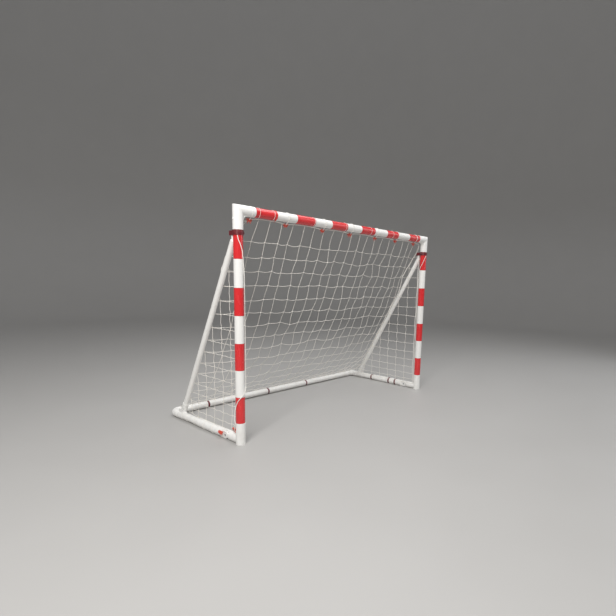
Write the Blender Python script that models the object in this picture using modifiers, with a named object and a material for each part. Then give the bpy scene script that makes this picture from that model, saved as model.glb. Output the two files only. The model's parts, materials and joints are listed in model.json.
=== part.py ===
"""Folding handball goal with a striped front frame, a fold-up base, swing-in stanchions and a net.

Metres, +Z up. X runs along the crossbar and +Y points from the goal mouth to the rear rail.
The origin is on the floor, under the centre of the whole goal's box.
"""
import math

import bmesh
import bpy
from mathutils import Matrix, Vector

# Fits between pieces
GAP = 0.0003  # between pieces that touch
PLAY = 0.0005  # sideways play in a hinge fork
OVERSHOOT = 0.020  # how far a cutter passes the face that it opens

# Striped tubes of the front frame
BAND = 0.200  # length of one stripe
CROSSBAR_BANDS = 11  # an odd number, so both ends are red
POST_BANDS = 7
TUBE_R = 0.034
TUBE_WALL = 0.0032
TAPE = 0.0005  # thickness of the red tape

# Top corners and foot corners, moulded over the tubes
FITTING_WALL = 0.0030
CORNER_ARM = 0.134  # from the crossing of the tube axes to an arm's mouth
CORNER_STOP = 0.045  # from that crossing to the shoulder that stops a tube
THROAT_R = 0.030  # of the fillet in the elbow's inner corner
THROAT_WIDTH = 0.036
THROAT_SINK = 0.001  # how deep the fillet's ends run under the elbow's surface
FOOT_HEIGHT = 0.168
FOOT_SOLE = 0.012

# Base frame
DEPTH = 1.000  # from the post axes to the rear rail's axis
BASE_R = 0.030
BASE_WALL = 0.0030
BASE_FITTING_WALL = 0.0037
REAR_ARM = 0.095  # from the crossing of the base axes to a rear corner's mouth
REAR_BEND = 0.050  # bend radius of the rear corners' centre line
REAR_STOP = 0.062

# Hinge of the base frame, in the foot corner's rear arm
HINGE_BACK = 0.165  # from the post axis to the hinge axis
HINGE_SETBACK = 0.040  # from the hinge axis to each fitting's round body
EYE_R = 0.028
TONGUE = 0.020  # thickness of the foot corner's tongue
CHEEK = 0.014  # thickness of each cheek of the knuckle's fork
FORK_CLEARANCE = 0.002  # behind the tongue's eye
SLEEVE_END = 0.580  # from the post axis to the rear mouth of the knuckle's sleeve
HINGE_PIN_R = 0.0060
PIN_HEAD_R = 0.0095
PIN_HEAD = 0.0035
PIN_HEAD_RIM = 0.6  # share of a head's height at which its chamfer starts
PIN_HEAD_TOP = 0.7  # share of a head's radius at which its chamfer ends

# Clamp round the post, and the stanchion's vertical pin in its lug
CLAMP_WALL = 0.0050
CLAMP_HEIGHT = 0.032
CLAMP_BELOW_CORNER = 0.003
LUG_R = 0.016
LUG_PAST_PIN = 0.018  # from the pin's axis to the middle of the lug's rounded end
STAY_PIN_R = 0.0045
STAY_PIN_HEAD_R = 0.0085
STAY_PIN_BELOW = 0.034  # how far the pin reaches down below the clamp
BOSS_R = 0.0090
BOSS_OUT = 0.008
BOLT_R = 0.0030
BOLT_HEAD_R = 0.0066
BOLT_HEAD = 0.0040

# Stanchions
STAY_R = 0.022
STAY_WALL = 0.0024
STAY_FOOT_IN = 0.015  # from the side rail's axis inwards
STAY_CLEARANCE = 0.005  # between the post's tape and a stanchion that is swung in
STAY_DROP = 0.060  # from the clamp's middle down to where the stanchion's axis crosses the pin's
STAY_START = 0.002  # from that crossing to the tube's upper end, along the stanchion
STAY_PLUG = 0.045
CAP_RIM = 0.010  # straight part of the head's cap, above the tube
CAP_TOP = 0.018  # height of the cap above the tube
CAP_TOP_R = 0.014
BARREL_R = 0.0105  # of the head's upright barrel, which turns on the pin
BARREL_ROOT = 0.009  # how far the barrel runs on below the crossing, inside the plug
STAY_SHOE_WALL = 0.004
STAY_SHOE = 0.085  # length of the shoe outside the tube

# Saddle on the side rail, whose ramp the stanchion's shoe rests on
SADDLE_WALL = 0.0032
SADDLE_LENGTH = 0.084
SADDLE_GAP = 0.013  # from the rear corner's mouth to the saddle
RAMP_TILT = math.radians(40)  # of the ramp's normal, up from the horizontal
RAMP_OFFSET = 0.0355  # from the rail's axis to the ramp
RAMP_OUT = 0.013  # from the rail's axis to the ramp's outer side
RAMP_WIDTH = 0.054
RAMP_LENGTH = 0.072
RAMP_HEIGHT = 0.056  # above the rail's axis

# Spring button that locks each post in its top corner
BUTTON_ABOVE_MOUTH = 0.072
BUTTON_R = 0.0060
BUTTON_PROUD = 0.008
BUTTON_DOME = 0.004
BUTTON_FLANGE_R = 0.0090
BUTTON_FLANGE = 0.0020
BUTTON_TRAVEL = 0.0040
SPRING_STRIP = 0.0008
SPRING_WIDTH = 0.010
SPRING_DROP = 0.060
SPRING_RISE = 0.010  # of the leg that lies on the bore, above the button's axis

# Net
STRAND = 0.0030
NET_COLUMNS = 17
NET_ROWS = 12
SIDE_COLUMNS = 4
SIDE_FIRST_ROW = 1  # the side nets start this many rows below the head rope
NET_SAG = 0.060
HEAD_BACK = 0.042  # from the crossbar's axis to the head rope
HEAD_DROP = 0.036
SIDE_OUT = 0.028  # from the post axes out to the side nets
TIE_COUNT = 7
TIE_MARGIN = 0.020  # from the top corners' mouths to the outermost ties
TIE_R = 0.0020
TIE_ARC_POINTS = 12
TIE_TIP_POINTS = 3

# Facets of round pieces
SIDES = 20
SMALL_SIDES = 16
PIN_SIDES = 12
TIE_SIDES = 6
BEND_STEPS = 5
BORE_BEND_STEPS = 3
DOME_STEPS = 3

# Sizes that follow from those above
CORNER_R = TUBE_R + GAP + FITTING_WALL
BASE_FITTING_R = BASE_R + GAP + BASE_FITTING_WALL
BASE_Z = BASE_FITTING_R
POST_X = CROSSBAR_BANDS * BAND / 2 + CORNER_ARM
MOUTH_Z = FOOT_HEIGHT + POST_BANDS * BAND
CROSSBAR_Z = MOUTH_Z + CORNER_ARM
TAPED_R = TUBE_R + GAP + TAPE
CLAMP_R = TAPED_R + GAP + CLAMP_WALL
CLAMP_Z = MOUTH_Z - CLAMP_BELOW_CORNER - CLAMP_HEIGHT / 2
FRONT_Y = -(DEPTH + BASE_FITTING_R - CLAMP_R) / 2
REAR_Y = FRONT_Y + DEPTH
HINGE_Y = FRONT_Y + HINGE_BACK
PIN_BACK = TAPED_R + STAY_CLEARANCE + STAY_R  # from the post axis to the stanchion's pin
PIN_Y = FRONT_Y + PIN_BACK
BUTTON_Z = MOUTH_Z + BUTTON_ABOVE_MOUTH
FORK_WIDTH = TONGUE + 2 * PLAY + 2 * CHEEK
TUBE_BORE_R = TUBE_R - TUBE_WALL
BORE_FLAT = TUBE_BORE_R * math.cos(math.pi / SIDES)  # from the axis to a facet of the bore
STAY_FOOT_BACK = DEPTH - REAR_ARM - SADDLE_GAP - SADDLE_LENGTH / 2  # from the post axis
SIDE_NET_X = POST_X + SIDE_OUT
TIE_END = POST_X - CORNER_ARM - TIE_MARGIN  # from the middle of the crossbar

PARTS = bpy.data.collections.new("folding_handball_goal")
TOOLS = bpy.data.collections.new("cutters")


def clear_scene():
    """Remove what the scene holds, and link the two collections."""
    for old in list(bpy.data.objects):
        bpy.data.objects.remove(old, do_unlink=True)
    for collection in (PARTS, TOOLS):
        bpy.context.scene.collection.children.link(collection)


def finish(name, colour, roughness, metallic=0.0):
    """A Principled material."""
    material = bpy.data.materials.new(name)
    material.use_nodes = True
    shader = material.node_tree.nodes["Principled BSDF"]
    shader.inputs["Base Color"].default_value = (*colour, 1.0)
    shader.inputs["Roughness"].default_value = roughness
    shader.inputs["Metallic"].default_value = metallic
    return material


WHITE_TUBE = finish("white_tube", (0.86, 0.86, 0.84), 0.28)
WHITE_FITTING = finish("white_fitting", (0.84, 0.84, 0.82), 0.36)
RED_TAPE = finish("red_tape", (0.74, 0.035, 0.05), 0.25)
DARK_CLAMP = finish("dark_clamp", (0.13, 0.018, 0.022), 0.45)
STEEL = finish("steel", (0.62, 0.62, 0.63), 0.35, 1.0)
NET_CORD = finish("net_cord", (0.80, 0.76, 0.68), 0.85)
TIE_CORD = finish("tie_cord", (0.78, 0.20, 0.12), 0.80)


# Placing and joining

def register(obj, material=None):
    """Link a part to the goal's collection, or a cutter to the hidden one."""
    if material:
        PARTS.objects.link(obj)
        obj.data.materials.append(material)
    else:
        TOOLS.objects.link(obj)
        obj.hide_render = True
        obj.display_type = "WIRE"
    return obj


def follow(child, parent):
    """Parent one object to another that has no parent yet, and leave it where it stands."""
    child.parent = parent
    child.matrix_parent_inverse = parent.matrix_basis.inverted()


def joint_empty(name, place):
    """An empty on a joint's axis."""
    empty = bpy.data.objects.new(name, None)
    empty.empty_display_size = 0.08
    empty.location = place
    PARTS.objects.link(empty)
    return empty


def combine(target, tool, operation):
    """A Boolean whose tool moves with the piece that it shapes."""
    modifier = target.modifiers.new(operation.lower(), "BOOLEAN")
    modifier.operation = operation
    modifier.object = tool
    follow(tool, target)


def join(target, *tools):
    for tool in tools:
        combine(target, tool, "UNION")


def cut(target, *tools):
    for tool in tools:
        combine(target, tool, "DIFFERENCE")


# Basic solids

def mesh_object(name, bm, material):
    """An object from a finished bmesh, smooth except along its sharp edges."""
    mesh = bpy.data.meshes.new(name)
    bm.to_mesh(mesh)
    bm.free()
    mesh.shade_smooth()
    mesh.set_sharp_from_angle(angle=math.radians(35))
    return register(bpy.data.objects.new(name, mesh), material)


def aim(obj, place, direction):
    """Put an object's origin at a place, with its local Z along a direction."""
    obj.location = place
    obj.rotation_mode = "QUATERNION"
    obj.rotation_quaternion = Vector(direction).to_track_quat("Z", "Y")


def rod(name, start, end, radius, material=None, sides=SIDES):
    """A solid cylinder from one point to another."""
    start = Vector(start)
    axis = Vector(end) - start
    bm = bmesh.new()
    bmesh.ops.create_cone(
        bm, cap_ends=True, segments=sides, radius1=radius, radius2=radius, depth=axis.length
    )
    bmesh.ops.translate(bm, verts=bm.verts, vec=(0, 0, axis.length / 2))
    obj = mesh_object(name, bm, material)
    aim(obj, start, axis)
    return obj


def block(name, centre, size, material=None):
    """A box of a given size round its centre."""
    bm = bmesh.new()
    bmesh.ops.create_cube(bm, size=1.0)
    bmesh.ops.scale(bm, verts=bm.verts, vec=size)
    obj = mesh_object(name, bm, material)
    obj.location = centre
    return obj


def half_space(name, point, normal, size=0.3):
    """A large block that fills the side of a plane to which its normal points."""
    bm = bmesh.new()
    bmesh.ops.create_cube(bm, size=size)
    bmesh.ops.translate(bm, verts=bm.verts, vec=(0, 0, size / 2))
    obj = mesh_object(name, bm, None)
    aim(obj, point, normal)
    return obj


def turned(name, profile, place, direction, material, closed=False, steps=SIDES):
    """Turn a profile of (radius, height) points, listed down its outer side, about an axis."""
    mesh = bpy.data.meshes.new(name)
    count = len(profile)
    edges = [(i, i + 1) for i in range(count - 1)]
    if closed:
        edges.append((count - 1, 0))
    mesh.from_pydata([(radius, 0, height) for radius, height in profile], edges, [])
    obj = register(bpy.data.objects.new(name, mesh), material)
    screw = obj.modifiers.new("turn", "SCREW")
    screw.steps = steps
    screw.render_steps = steps
    screw.use_merge_vertices = True
    screw.merge_threshold = 0.00001
    aim(obj, place, direction)
    return obj


def hollow_tube(name, start, end, radius, wall, material, sides=SIDES):
    """A straight tube, open at both ends."""
    start = Vector(start)
    axis = Vector(end) - start
    inner = radius - wall
    profile = [(radius, axis.length), (radius, 0), (inner, 0), (inner, axis.length)]
    return turned(name, profile, start, axis, material, closed=True, steps=sides)


def rivet(name, centre, direction, shank_r, grip, head_r, head, material=STEEL):
    """A pin with a head at each end, whose shank passes through a given grip."""
    half = grip / 2 + GAP
    profile = [
        (0, half + head),
        (head_r * PIN_HEAD_TOP, half + head),
        (head_r, half + head * PIN_HEAD_RIM),
        (head_r, half),
        (shank_r, half),
        (shank_r, -half),
        (head_r, -half),
        (head_r, -half - head * PIN_HEAD_RIM),
        (head_r * PIN_HEAD_TOP, -half - head),
        (0, -half - head),
    ]
    return turned(name, profile, centre, direction, material, steps=PIN_SIDES)


def mitred_elbow(name, radius, arm, material=None):
    """A square elbow whose arms run down and towards +X from the crossing of their axes."""
    overshoot = 2 * radius
    bm = bmesh.new()
    bmesh.ops.create_cone(
        bm, cap_ends=True, segments=SIDES, radius1=radius, radius2=radius, depth=arm + overshoot
    )
    bmesh.ops.translate(bm, verts=bm.verts, vec=(0, 0, (overshoot - arm) / 2))
    everything = bm.verts[:] + bm.edges[:] + bm.faces[:]
    bmesh.ops.bisect_plane(
        bm, geom=everything, plane_co=(0, 0, 0), plane_no=(1, 0, 1), clear_outer=True
    )
    everything = bm.verts[:] + bm.edges[:] + bm.faces[:]
    copy = bmesh.ops.duplicate(bm, geom=everything)["geom"]
    swap = Matrix(((0, 0, -1), (0, 1, 0), (-1, 0, 0))).to_4x4()
    bmesh.ops.transform(bm, matrix=swap, verts=[v for v in copy if isinstance(v, bmesh.types.BMVert)])
    bmesh.ops.reverse_faces(bm, faces=[f for f in copy if isinstance(f, bmesh.types.BMFace)])
    bmesh.ops.remove_doubles(bm, verts=bm.verts, dist=0.00001)
    return mesh_object(name, bm, material)


def curve_object(name, points, radius, sides, cyclic=False):
    """A bar along points, with an even number of sides."""
    curve = bpy.data.curves.new(name, "CURVE")
    curve.dimensions = "3D"
    curve.bevel_depth = radius
    curve.bevel_resolution = sides // 2 - 2
    curve.use_fill_caps = not cyclic
    spline = curve.splines.new("POLY")
    spline.points.add(len(points) - 1)
    for point, place in zip(spline.points, points):
        point.co = (*place, 1.0)
    spline.use_cyclic_u = cyclic
    return bpy.data.objects.new(name, curve)


def curve_mesh(name, points, radius, sides, material=None):
    """The same bar as a closed mesh that can be cut."""
    source = curve_object(name + "_path", points, radius, sides)
    TOOLS.objects.link(source)
    bpy.context.view_layer.update()
    evaluated = source.evaluated_get(bpy.context.evaluated_depsgraph_get())
    mesh = bpy.data.meshes.new_from_object(evaluated)
    bpy.data.objects.remove(source, do_unlink=True)
    bm = bmesh.new()
    bm.from_mesh(mesh)
    bmesh.ops.remove_doubles(bm, verts=bm.verts, dist=0.00001)
    return mesh_object(name, bm, material)


# The two sides of the goal

def side_name(side):
    return "left" if side < 0 else "right"


def at(side, x_out, y, z):
    """A point given by its distance out from the middle of the goal."""
    return Vector((side * x_out, y, z))


# Front frame

def crossbar():
    reach = POST_X - CORNER_STOP - GAP
    ends = [(-reach, FRONT_Y, CROSSBAR_Z), (reach, FRONT_Y, CROSSBAR_Z)]
    return [hollow_tube("crossbar", *ends, TUBE_R, TUBE_WALL, WHITE_TUBE)]


def post(side):
    """The post tube, with the hole for its spring button."""
    name = side_name(side) + "_post"
    foot = at(side, POST_X, FRONT_Y, FOOT_SOLE + GAP)
    top = at(side, POST_X, FRONT_Y, CROSSBAR_Z - CORNER_STOP - GAP)
    tube = hollow_tube(name, foot, top, TUBE_R, TUBE_WALL, WHITE_TUBE)
    cut(tube, button_hole(name, side))
    return tube


def button_hole(name, side):
    """A drill from the tube's bore out past the corner's wall."""
    start = at(side, POST_X + TUBE_BORE_R / 2, FRONT_Y, BUTTON_Z)
    end = at(side, POST_X + CORNER_R + BUTTON_PROUD, FRONT_Y, BUTTON_Z)
    return rod(name + "_button_hole", start, end, BUTTON_R + GAP, sides=SMALL_SIDES)


def band(name, start, direction):
    """One stripe of red tape round a tube."""
    start = Vector(start) + Vector(direction) * GAP
    end = start + Vector(direction) * (BAND - 2 * GAP)
    return hollow_tube(name, start, end, TAPED_R, TAPE, RED_TAPE)


def bands():
    """Every second stripe of the crossbar and of both posts, from the outer or upper end."""
    made = []
    for k in range(0, CROSSBAR_BANDS, 2):
        x = -CROSSBAR_BANDS * BAND / 2 + k * BAND
        made.append(band(f"crossbar_band_{k // 2 + 1}", (x, FRONT_Y, CROSSBAR_Z), (1, 0, 0)))
    for side in (-1, 1):
        for k in range(0, POST_BANDS, 2):
            place = at(side, POST_X, FRONT_Y, MOUTH_Z - k * BAND)
            made.append(band(f"{side_name(side)}_post_band_{k // 2 + 1}", place, (0, 0, -1)))
    return made


def top_corner(side):
    """Square elbow with a socket for the post and one for the crossbar."""
    name = side_name(side) + "_top_corner"
    crossing = at(side, POST_X, FRONT_Y, CROSSBAR_Z)
    elbow = mitred_elbow(name, CORNER_R, CORNER_ARM, WHITE_FITTING)
    bore = mitred_elbow(name + "_bore", TUBE_BORE_R, CORNER_ARM / 2)
    for piece in (elbow, bore):
        piece.location = crossing
        piece.rotation_euler.z = 0 if side < 0 else math.pi
    sockets = []
    for arm, direction in (("post", Vector((0, 0, -1))), ("crossbar", Vector((-side, 0, 0)))):
        start = crossing + direction * CORNER_STOP
        end = crossing + direction * (CORNER_ARM + OVERSHOOT)
        sockets.append(rod(f"{name}_{arm}_socket", start, end, TUBE_R + GAP))
    join(elbow, corner_throat(name, side))
    cut(elbow, bore, *sockets, button_hole(name, side))
    return elbow


def corner_throat(name, side):
    """Web that fills the elbow's inner corner up to a concave fillet."""
    reach = CORNER_R + THROAT_R - THROAT_SINK
    arc_centre = at(side, POST_X - reach, FRONT_Y, CROSSBAR_Z - reach)
    middle = at(side, POST_X - reach / 2, FRONT_Y, CROSSBAR_Z - reach / 2)
    web = block(name + "_throat", middle, (reach, THROAT_WIDTH, reach))
    half = Vector((0, THROAT_WIDTH, 0))
    cut(web, rod(name + "_throat_arc", arc_centre - half, arc_centre + half, THROAT_R))
    return web


def foot_corner(side):
    """Foot with a socket for the post, a flat sole and the hinge tongue behind."""
    name = side_name(side) + "_foot_corner"
    base = at(side, POST_X, FRONT_Y, 0)
    foot = rod(name, base, base + Vector((0, 0, FOOT_HEIGHT)), CORNER_R, WHITE_FITTING)
    axis = at(side, POST_X, FRONT_Y, BASE_Z)
    arm_end = at(side, POST_X, HINGE_Y - HINGE_SETBACK, BASE_Z)
    hinge = at(side, POST_X, HINGE_Y, BASE_Z)
    half = Vector((TONGUE / 2, 0, 0))
    arm = rod(name + "_arm", axis, arm_end, BASE_FITTING_R)
    inset = HINGE_SETBACK / 2
    web = block(
        name + "_web",
        (hinge + arm_end) / 2 - Vector((0, inset / 2, 0)),
        (TONGUE, HINGE_SETBACK + inset, 2 * EYE_R),
    )
    eye = rod(name + "_eye", hinge - half, hinge + half, EYE_R)
    join(foot, arm, web, eye)
    top = base + Vector((0, 0, FOOT_HEIGHT + OVERSHOOT))
    socket = rod(name + "_socket", base + Vector((0, 0, FOOT_SOLE)), top, TUBE_R + GAP)
    cut(foot, socket, pin_hole(name, hinge))
    return foot


def pin_hole(name, hinge):
    """A drill for the base hinge's pin."""
    reach = Vector((FORK_WIDTH, 0, 0))
    return rod(name + "_pin_hole", hinge - reach, hinge + reach, HINGE_PIN_R + GAP, sides=SMALL_SIDES)


def hinge_pin(side):
    hinge = at(side, POST_X, HINGE_Y, BASE_Z)
    name = side_name(side) + "_hinge_pin"
    return rivet(name, hinge, (1, 0, 0), HINGE_PIN_R, FORK_WIDTH, PIN_HEAD_R, PIN_HEAD)


def post_clamp(side):
    """Ring round the post with a lug behind it and a bolt boss on its inner side."""
    name = side_name(side) + "_post_clamp"
    centre = at(side, POST_X, FRONT_Y, CLAMP_Z)
    half = Vector((0, 0, CLAMP_HEIGHT / 2))
    pin = at(side, POST_X, PIN_Y, CLAMP_Z)
    end = pin + Vector((0, LUG_PAST_PIN, 0))
    clamp = rod(name, centre - half, centre + half, CLAMP_R, DARK_CLAMP)
    lug_size = (2 * LUG_R, PIN_BACK + LUG_PAST_PIN, CLAMP_HEIGHT)
    lug = block(name + "_lug", (centre + end) / 2, lug_size)
    lug_end = rod(name + "_lug_end", end - half, end + half, LUG_R, sides=SMALL_SIDES)
    boss = rod(name + "_boss", centre, clamp_bolt_seat(side), BOSS_R, sides=PIN_SIDES)
    join(clamp, lug, lug_end, boss)
    bore = rod(name + "_bore", centre - 2 * half, centre + 2 * half, TAPED_R + GAP)
    hole = stay_pin_hole(name, pin)
    thread = rod(name + "_thread", centre, centre + 2 * (clamp_bolt_seat(side) - centre),
                 BOLT_R + GAP, sides=PIN_SIDES)
    cut(clamp, bore, hole, thread)
    return clamp


def clamp_bolt_seat(side):
    """The outer end of the clamp's boss."""
    return at(side, POST_X - CLAMP_R - BOSS_OUT, FRONT_Y, CLAMP_Z)


def clamp_bolt(side):
    """Hexagon bolt in the clamp's boss."""
    name = side_name(side) + "_clamp_bolt"
    seat = clamp_bolt_seat(side)
    inwards = Vector((-side, 0, 0))
    head_start = seat + inwards * GAP
    bolt = rod(name, head_start, head_start + inwards * BOLT_HEAD, BOLT_HEAD_R, STEEL, sides=6)
    shank_length = BOSS_OUT + CLAMP_WALL - GAP
    shank_end = seat - inwards * shank_length
    join(bolt, rod(name + "_shank", head_start + inwards * BOLT_HEAD / 2, shank_end, BOLT_R,
                   sides=PIN_SIDES))
    return bolt


def stay_pin_hole(name, pin):
    """A drill for the stanchion's vertical pin, down to its blind end in the head."""
    top = pin + Vector((0, 0, CLAMP_HEIGHT))
    bottom = pin - Vector((0, 0, CLAMP_HEIGHT / 2 + STAY_PIN_BELOW + GAP))
    return rod(name + "_stay_hole", bottom, top, STAY_PIN_R + GAP, sides=SMALL_SIDES)


def stanchion_pin(side):
    """Shouldered pin whose head lies on the lug and whose shank ends in the stanchion's head."""
    seat = CLAMP_HEIGHT / 2 + GAP
    profile = [
        (0, seat + PIN_HEAD),
        (STAY_PIN_HEAD_R * PIN_HEAD_TOP, seat + PIN_HEAD),
        (STAY_PIN_HEAD_R, seat + PIN_HEAD * PIN_HEAD_RIM),
        (STAY_PIN_HEAD_R, seat),
        (STAY_PIN_R, seat),
        (STAY_PIN_R, -CLAMP_HEIGHT / 2 - STAY_PIN_BELOW),
        (0, -CLAMP_HEIGHT / 2 - STAY_PIN_BELOW),
    ]
    pin = at(side, POST_X, PIN_Y, CLAMP_Z)
    return turned(side_name(side) + "_stanchion_pin", profile, pin, (0, 0, 1), STEEL, steps=PIN_SIDES)


# Spring buttons

def button_flange_face():
    """How far from the post axis the flange's flat face can lie inside the round bore."""
    return math.sqrt(BORE_FLAT**2 - BUTTON_FLANGE_R**2) - GAP


def corner_button(side):
    """Domed button with a flange that the tube's bore holds back."""
    face = button_flange_face()
    tip = CORNER_R + BUTTON_PROUD
    turns = [math.pi / 2 * k / DOME_STEPS for k in range(DOME_STEPS + 1)]
    profile = [(BUTTON_R * math.sin(t), tip - BUTTON_DOME * (1 - math.cos(t))) for t in turns]
    profile += [
        (BUTTON_R, face),
        (BUTTON_FLANGE_R, face),
        (BUTTON_FLANGE_R, face - BUTTON_FLANGE),
        (0, face - BUTTON_FLANGE),
    ]
    name = side_name(side) + "_corner_button"
    place = at(side, POST_X, FRONT_Y, BUTTON_Z)
    return turned(name, profile, place, (side, 0, 0), WHITE_FITTING, steps=SMALL_SIDES)


def button_spring(side):
    """Bent strip inside the post: one leg lies on the bore, the other stands behind the button."""
    wall = math.sqrt(BORE_FLAT**2 - (SPRING_WIDTH / 2) ** 2) - GAP - SPRING_STRIP / 2
    behind = button_flange_face() - BUTTON_FLANGE - BUTTON_TRAVEL - GAP - SPRING_STRIP / 2
    bend_r = wall / 3
    turns = [math.pi * k / BEND_STEPS for k in range(BEND_STEPS + 1)]
    route = [(-wall, SPRING_RISE)]
    route += [(-wall + bend_r - bend_r * math.cos(t), -SPRING_DROP - bend_r * math.sin(t)) for t in turns]
    route += [(behind, -BUTTON_FLANGE_R), (behind, BUTTON_FLANGE_R)]
    bm = bmesh.new()
    rows = []
    for out, height in route:
        pair = [bm.verts.new((side * out, edge * SPRING_WIDTH / 2, height)) for edge in (-1, 1)]
        rows.append(pair)
    for above, below in zip(rows, rows[1:]):
        bm.faces.new((above[0], above[1], below[1], below[0]))
    spring = mesh_object(side_name(side) + "_button_spring", bm, STEEL)
    spring.location = at(side, POST_X, FRONT_Y, BUTTON_Z)
    thicken = spring.modifiers.new("strip", "SOLIDIFY")
    thicken.thickness = SPRING_STRIP
    thicken.offset = 0
    return spring


# Base frame

def base_knuckle(side):
    """Sleeve over the side rail's front end, with the fork of the base hinge."""
    name = side_name(side) + "_base_knuckle"
    hinge = at(side, POST_X, HINGE_Y, BASE_Z)
    body_start = hinge + Vector((0, HINGE_SETBACK, 0))
    mouth = at(side, POST_X, FRONT_Y + SLEEVE_END, BASE_Z)
    sleeve = rod(name, body_start, mouth, BASE_FITTING_R, WHITE_FITTING)
    inset = HINGE_SETBACK / 4
    fork_centre = (hinge + body_start) / 2 + Vector((0, inset / 2, 0))
    fork = block(name + "_fork", fork_centre, (FORK_WIDTH, HINGE_SETBACK + inset, 2 * EYE_R))
    half = Vector((FORK_WIDTH / 2, 0, 0))
    fork_end = rod(name + "_fork_end", hinge - half, hinge + half, EYE_R)
    join(sleeve, fork, fork_end)
    slot_reach = EYE_R + FORK_CLEARANCE
    slot = block(name + "_slot", hinge, (TONGUE + 2 * PLAY, 2 * slot_reach, 3 * EYE_R))
    bore = rod(name + "_bore", rail_front(side), mouth + Vector((0, BASE_R, 0)), BASE_R + GAP)
    cut(sleeve, slot, bore, pin_hole(name, hinge))
    return sleeve


def rail_front(side):
    """The shoulder in the knuckle that stops the side rail."""
    return at(side, POST_X, HINGE_Y + HINGE_SETBACK + BASE_R / 2, BASE_Z)


def side_rail(side):
    start = rail_front(side) + Vector((0, GAP, 0))
    end = at(side, POST_X, REAR_Y - REAR_STOP - GAP, BASE_Z)
    name = side_name(side) + "_side_rail"
    return hollow_tube(name, start, end, BASE_R, BASE_WALL, WHITE_TUBE)


def bend_path(arm, radius, steps):
    """Centre line of a rounded elbow: from the -Y arm round to the +X arm."""
    points = [Vector((0, -arm, 0))]
    for k in range(steps + 1):
        turn = math.pi / 2 * k / steps
        points.append(Vector((radius - radius * math.cos(turn), -radius + radius * math.sin(turn), 0)))
    points.append(Vector((arm, 0, 0)))
    return points


def rear_corner(side):
    """Rounded elbow that holds the side rail and the rear rail."""
    name = side_name(side) + "_rear_corner"
    crossing = at(side, POST_X, REAR_Y, BASE_Z)
    path = bend_path(REAR_ARM, REAR_BEND, BEND_STEPS)
    elbow = curve_mesh(name, path, BASE_FITTING_R, SIDES, WHITE_FITTING)
    bore_r = BASE_R - BASE_WALL
    bore_arm = (REAR_ARM + REAR_STOP) / 2
    bore = curve_mesh(name + "_bore", bend_path(bore_arm, REAR_BEND, BORE_BEND_STEPS), bore_r, PIN_SIDES)
    for piece in (elbow, bore):
        piece.location = crossing
        piece.rotation_euler.z = 0 if side < 0 else -math.pi / 2
    sockets = []
    for arm, direction in (("side", Vector((0, -1, 0))), ("rear", Vector((-side, 0, 0)))):
        start = crossing + direction * REAR_STOP
        end = crossing + direction * (REAR_ARM + OVERSHOOT)
        sockets.append(rod(f"{name}_{arm}_socket", start, end, BASE_R + GAP))
    cut(elbow, bore, *sockets)
    return elbow


def rear_rail():
    reach = POST_X - REAR_STOP - GAP
    ends = [(-reach, REAR_Y, BASE_Z), (reach, REAR_Y, BASE_Z)]
    return hollow_tube("rear_rail", *ends, BASE_R, BASE_WALL, WHITE_TUBE)


def ramp_point(side):
    """A point on the saddle's ramp, below the stanchion, and the ramp's normal."""
    rail = at(side, POST_X, FRONT_Y + STAY_FOOT_BACK, BASE_Z)
    normal = Vector((-side * math.cos(RAMP_TILT), 0, math.sin(RAMP_TILT)))
    return rail + normal * RAMP_OFFSET, normal


def rail_saddle(side):
    """Ring on the side rail with a ramp that faces inwards and up."""
    name = side_name(side) + "_rail_saddle"
    rail = at(side, POST_X, FRONT_Y + STAY_FOOT_BACK, BASE_Z)
    half = Vector((0, SADDLE_LENGTH / 2, 0))
    ring = rod(name, rail - half, rail + half, BASE_R + GAP + SADDLE_WALL, WHITE_FITTING)
    ramp_centre = rail + Vector((side * (RAMP_OUT - RAMP_WIDTH / 2), 0, RAMP_HEIGHT / 2))
    ramp = block(name + "_ramp", ramp_centre, (RAMP_WIDTH, RAMP_LENGTH, RAMP_HEIGHT))
    join(ring, ramp)
    point, normal = ramp_point(side)
    above = half_space(name + "_above", point, normal)
    bore = rod(name + "_bore", rail - 2 * half, rail + 2 * half, BASE_R + GAP)
    cut(ring, above, bore)
    return ring


# Stanchions

def stay_line(side):
    """Where the stanchion's axis crosses the pin's, the unit direction down it, and its foot on the ramp."""
    crossing = at(side, POST_X, PIN_Y, CLAMP_Z - STAY_DROP)
    point, normal = ramp_point(side)
    x = at(side, POST_X - STAY_FOOT_IN, 0, 0).x
    z = point.z - (x - point.x) * normal.x / normal.z
    foot = Vector((x, FRONT_Y + STAY_FOOT_BACK, z))
    return crossing, (foot - crossing).normalized(), foot


def stanchion_tube(side):
    crossing, down, foot = stay_line(side)
    start = crossing + down * STAY_START
    end = foot - down * STAY_SHOE
    name = side_name(side) + "_stanchion_tube"
    return hollow_tube(name, start, end, STAY_R, STAY_WALL, WHITE_TUBE, sides=SMALL_SIDES)


def stanchion_head(side):
    """Cap and plug on the tube's upper end, with an upright barrel that turns on the pin below the lug."""
    name = side_name(side) + "_stanchion_head"
    crossing, down, _ = stay_line(side)
    plug_r = STAY_R - STAY_WALL - GAP
    profile = [
        (0, CAP_TOP),
        (CAP_TOP_R, CAP_TOP),
        (STAY_R, CAP_RIM),
        (STAY_R, GAP),
        (plug_r, GAP),
        (plug_r, -STAY_PLUG),
        (0, -STAY_PLUG),
    ]
    head = turned(name, profile, crossing + down * STAY_START, -down, WHITE_FITTING, steps=SMALL_SIDES)
    pin = at(side, POST_X, PIN_Y, CLAMP_Z)
    barrel_top = pin - Vector((0, 0, CLAMP_HEIGHT / 2 + GAP))
    barrel_end = crossing - Vector((0, 0, BARREL_ROOT))
    join(head, rod(name + "_barrel", barrel_end, barrel_top, BARREL_R, sides=SMALL_SIDES))
    cut(head, stay_pin_hole(name, pin))
    return head


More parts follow.
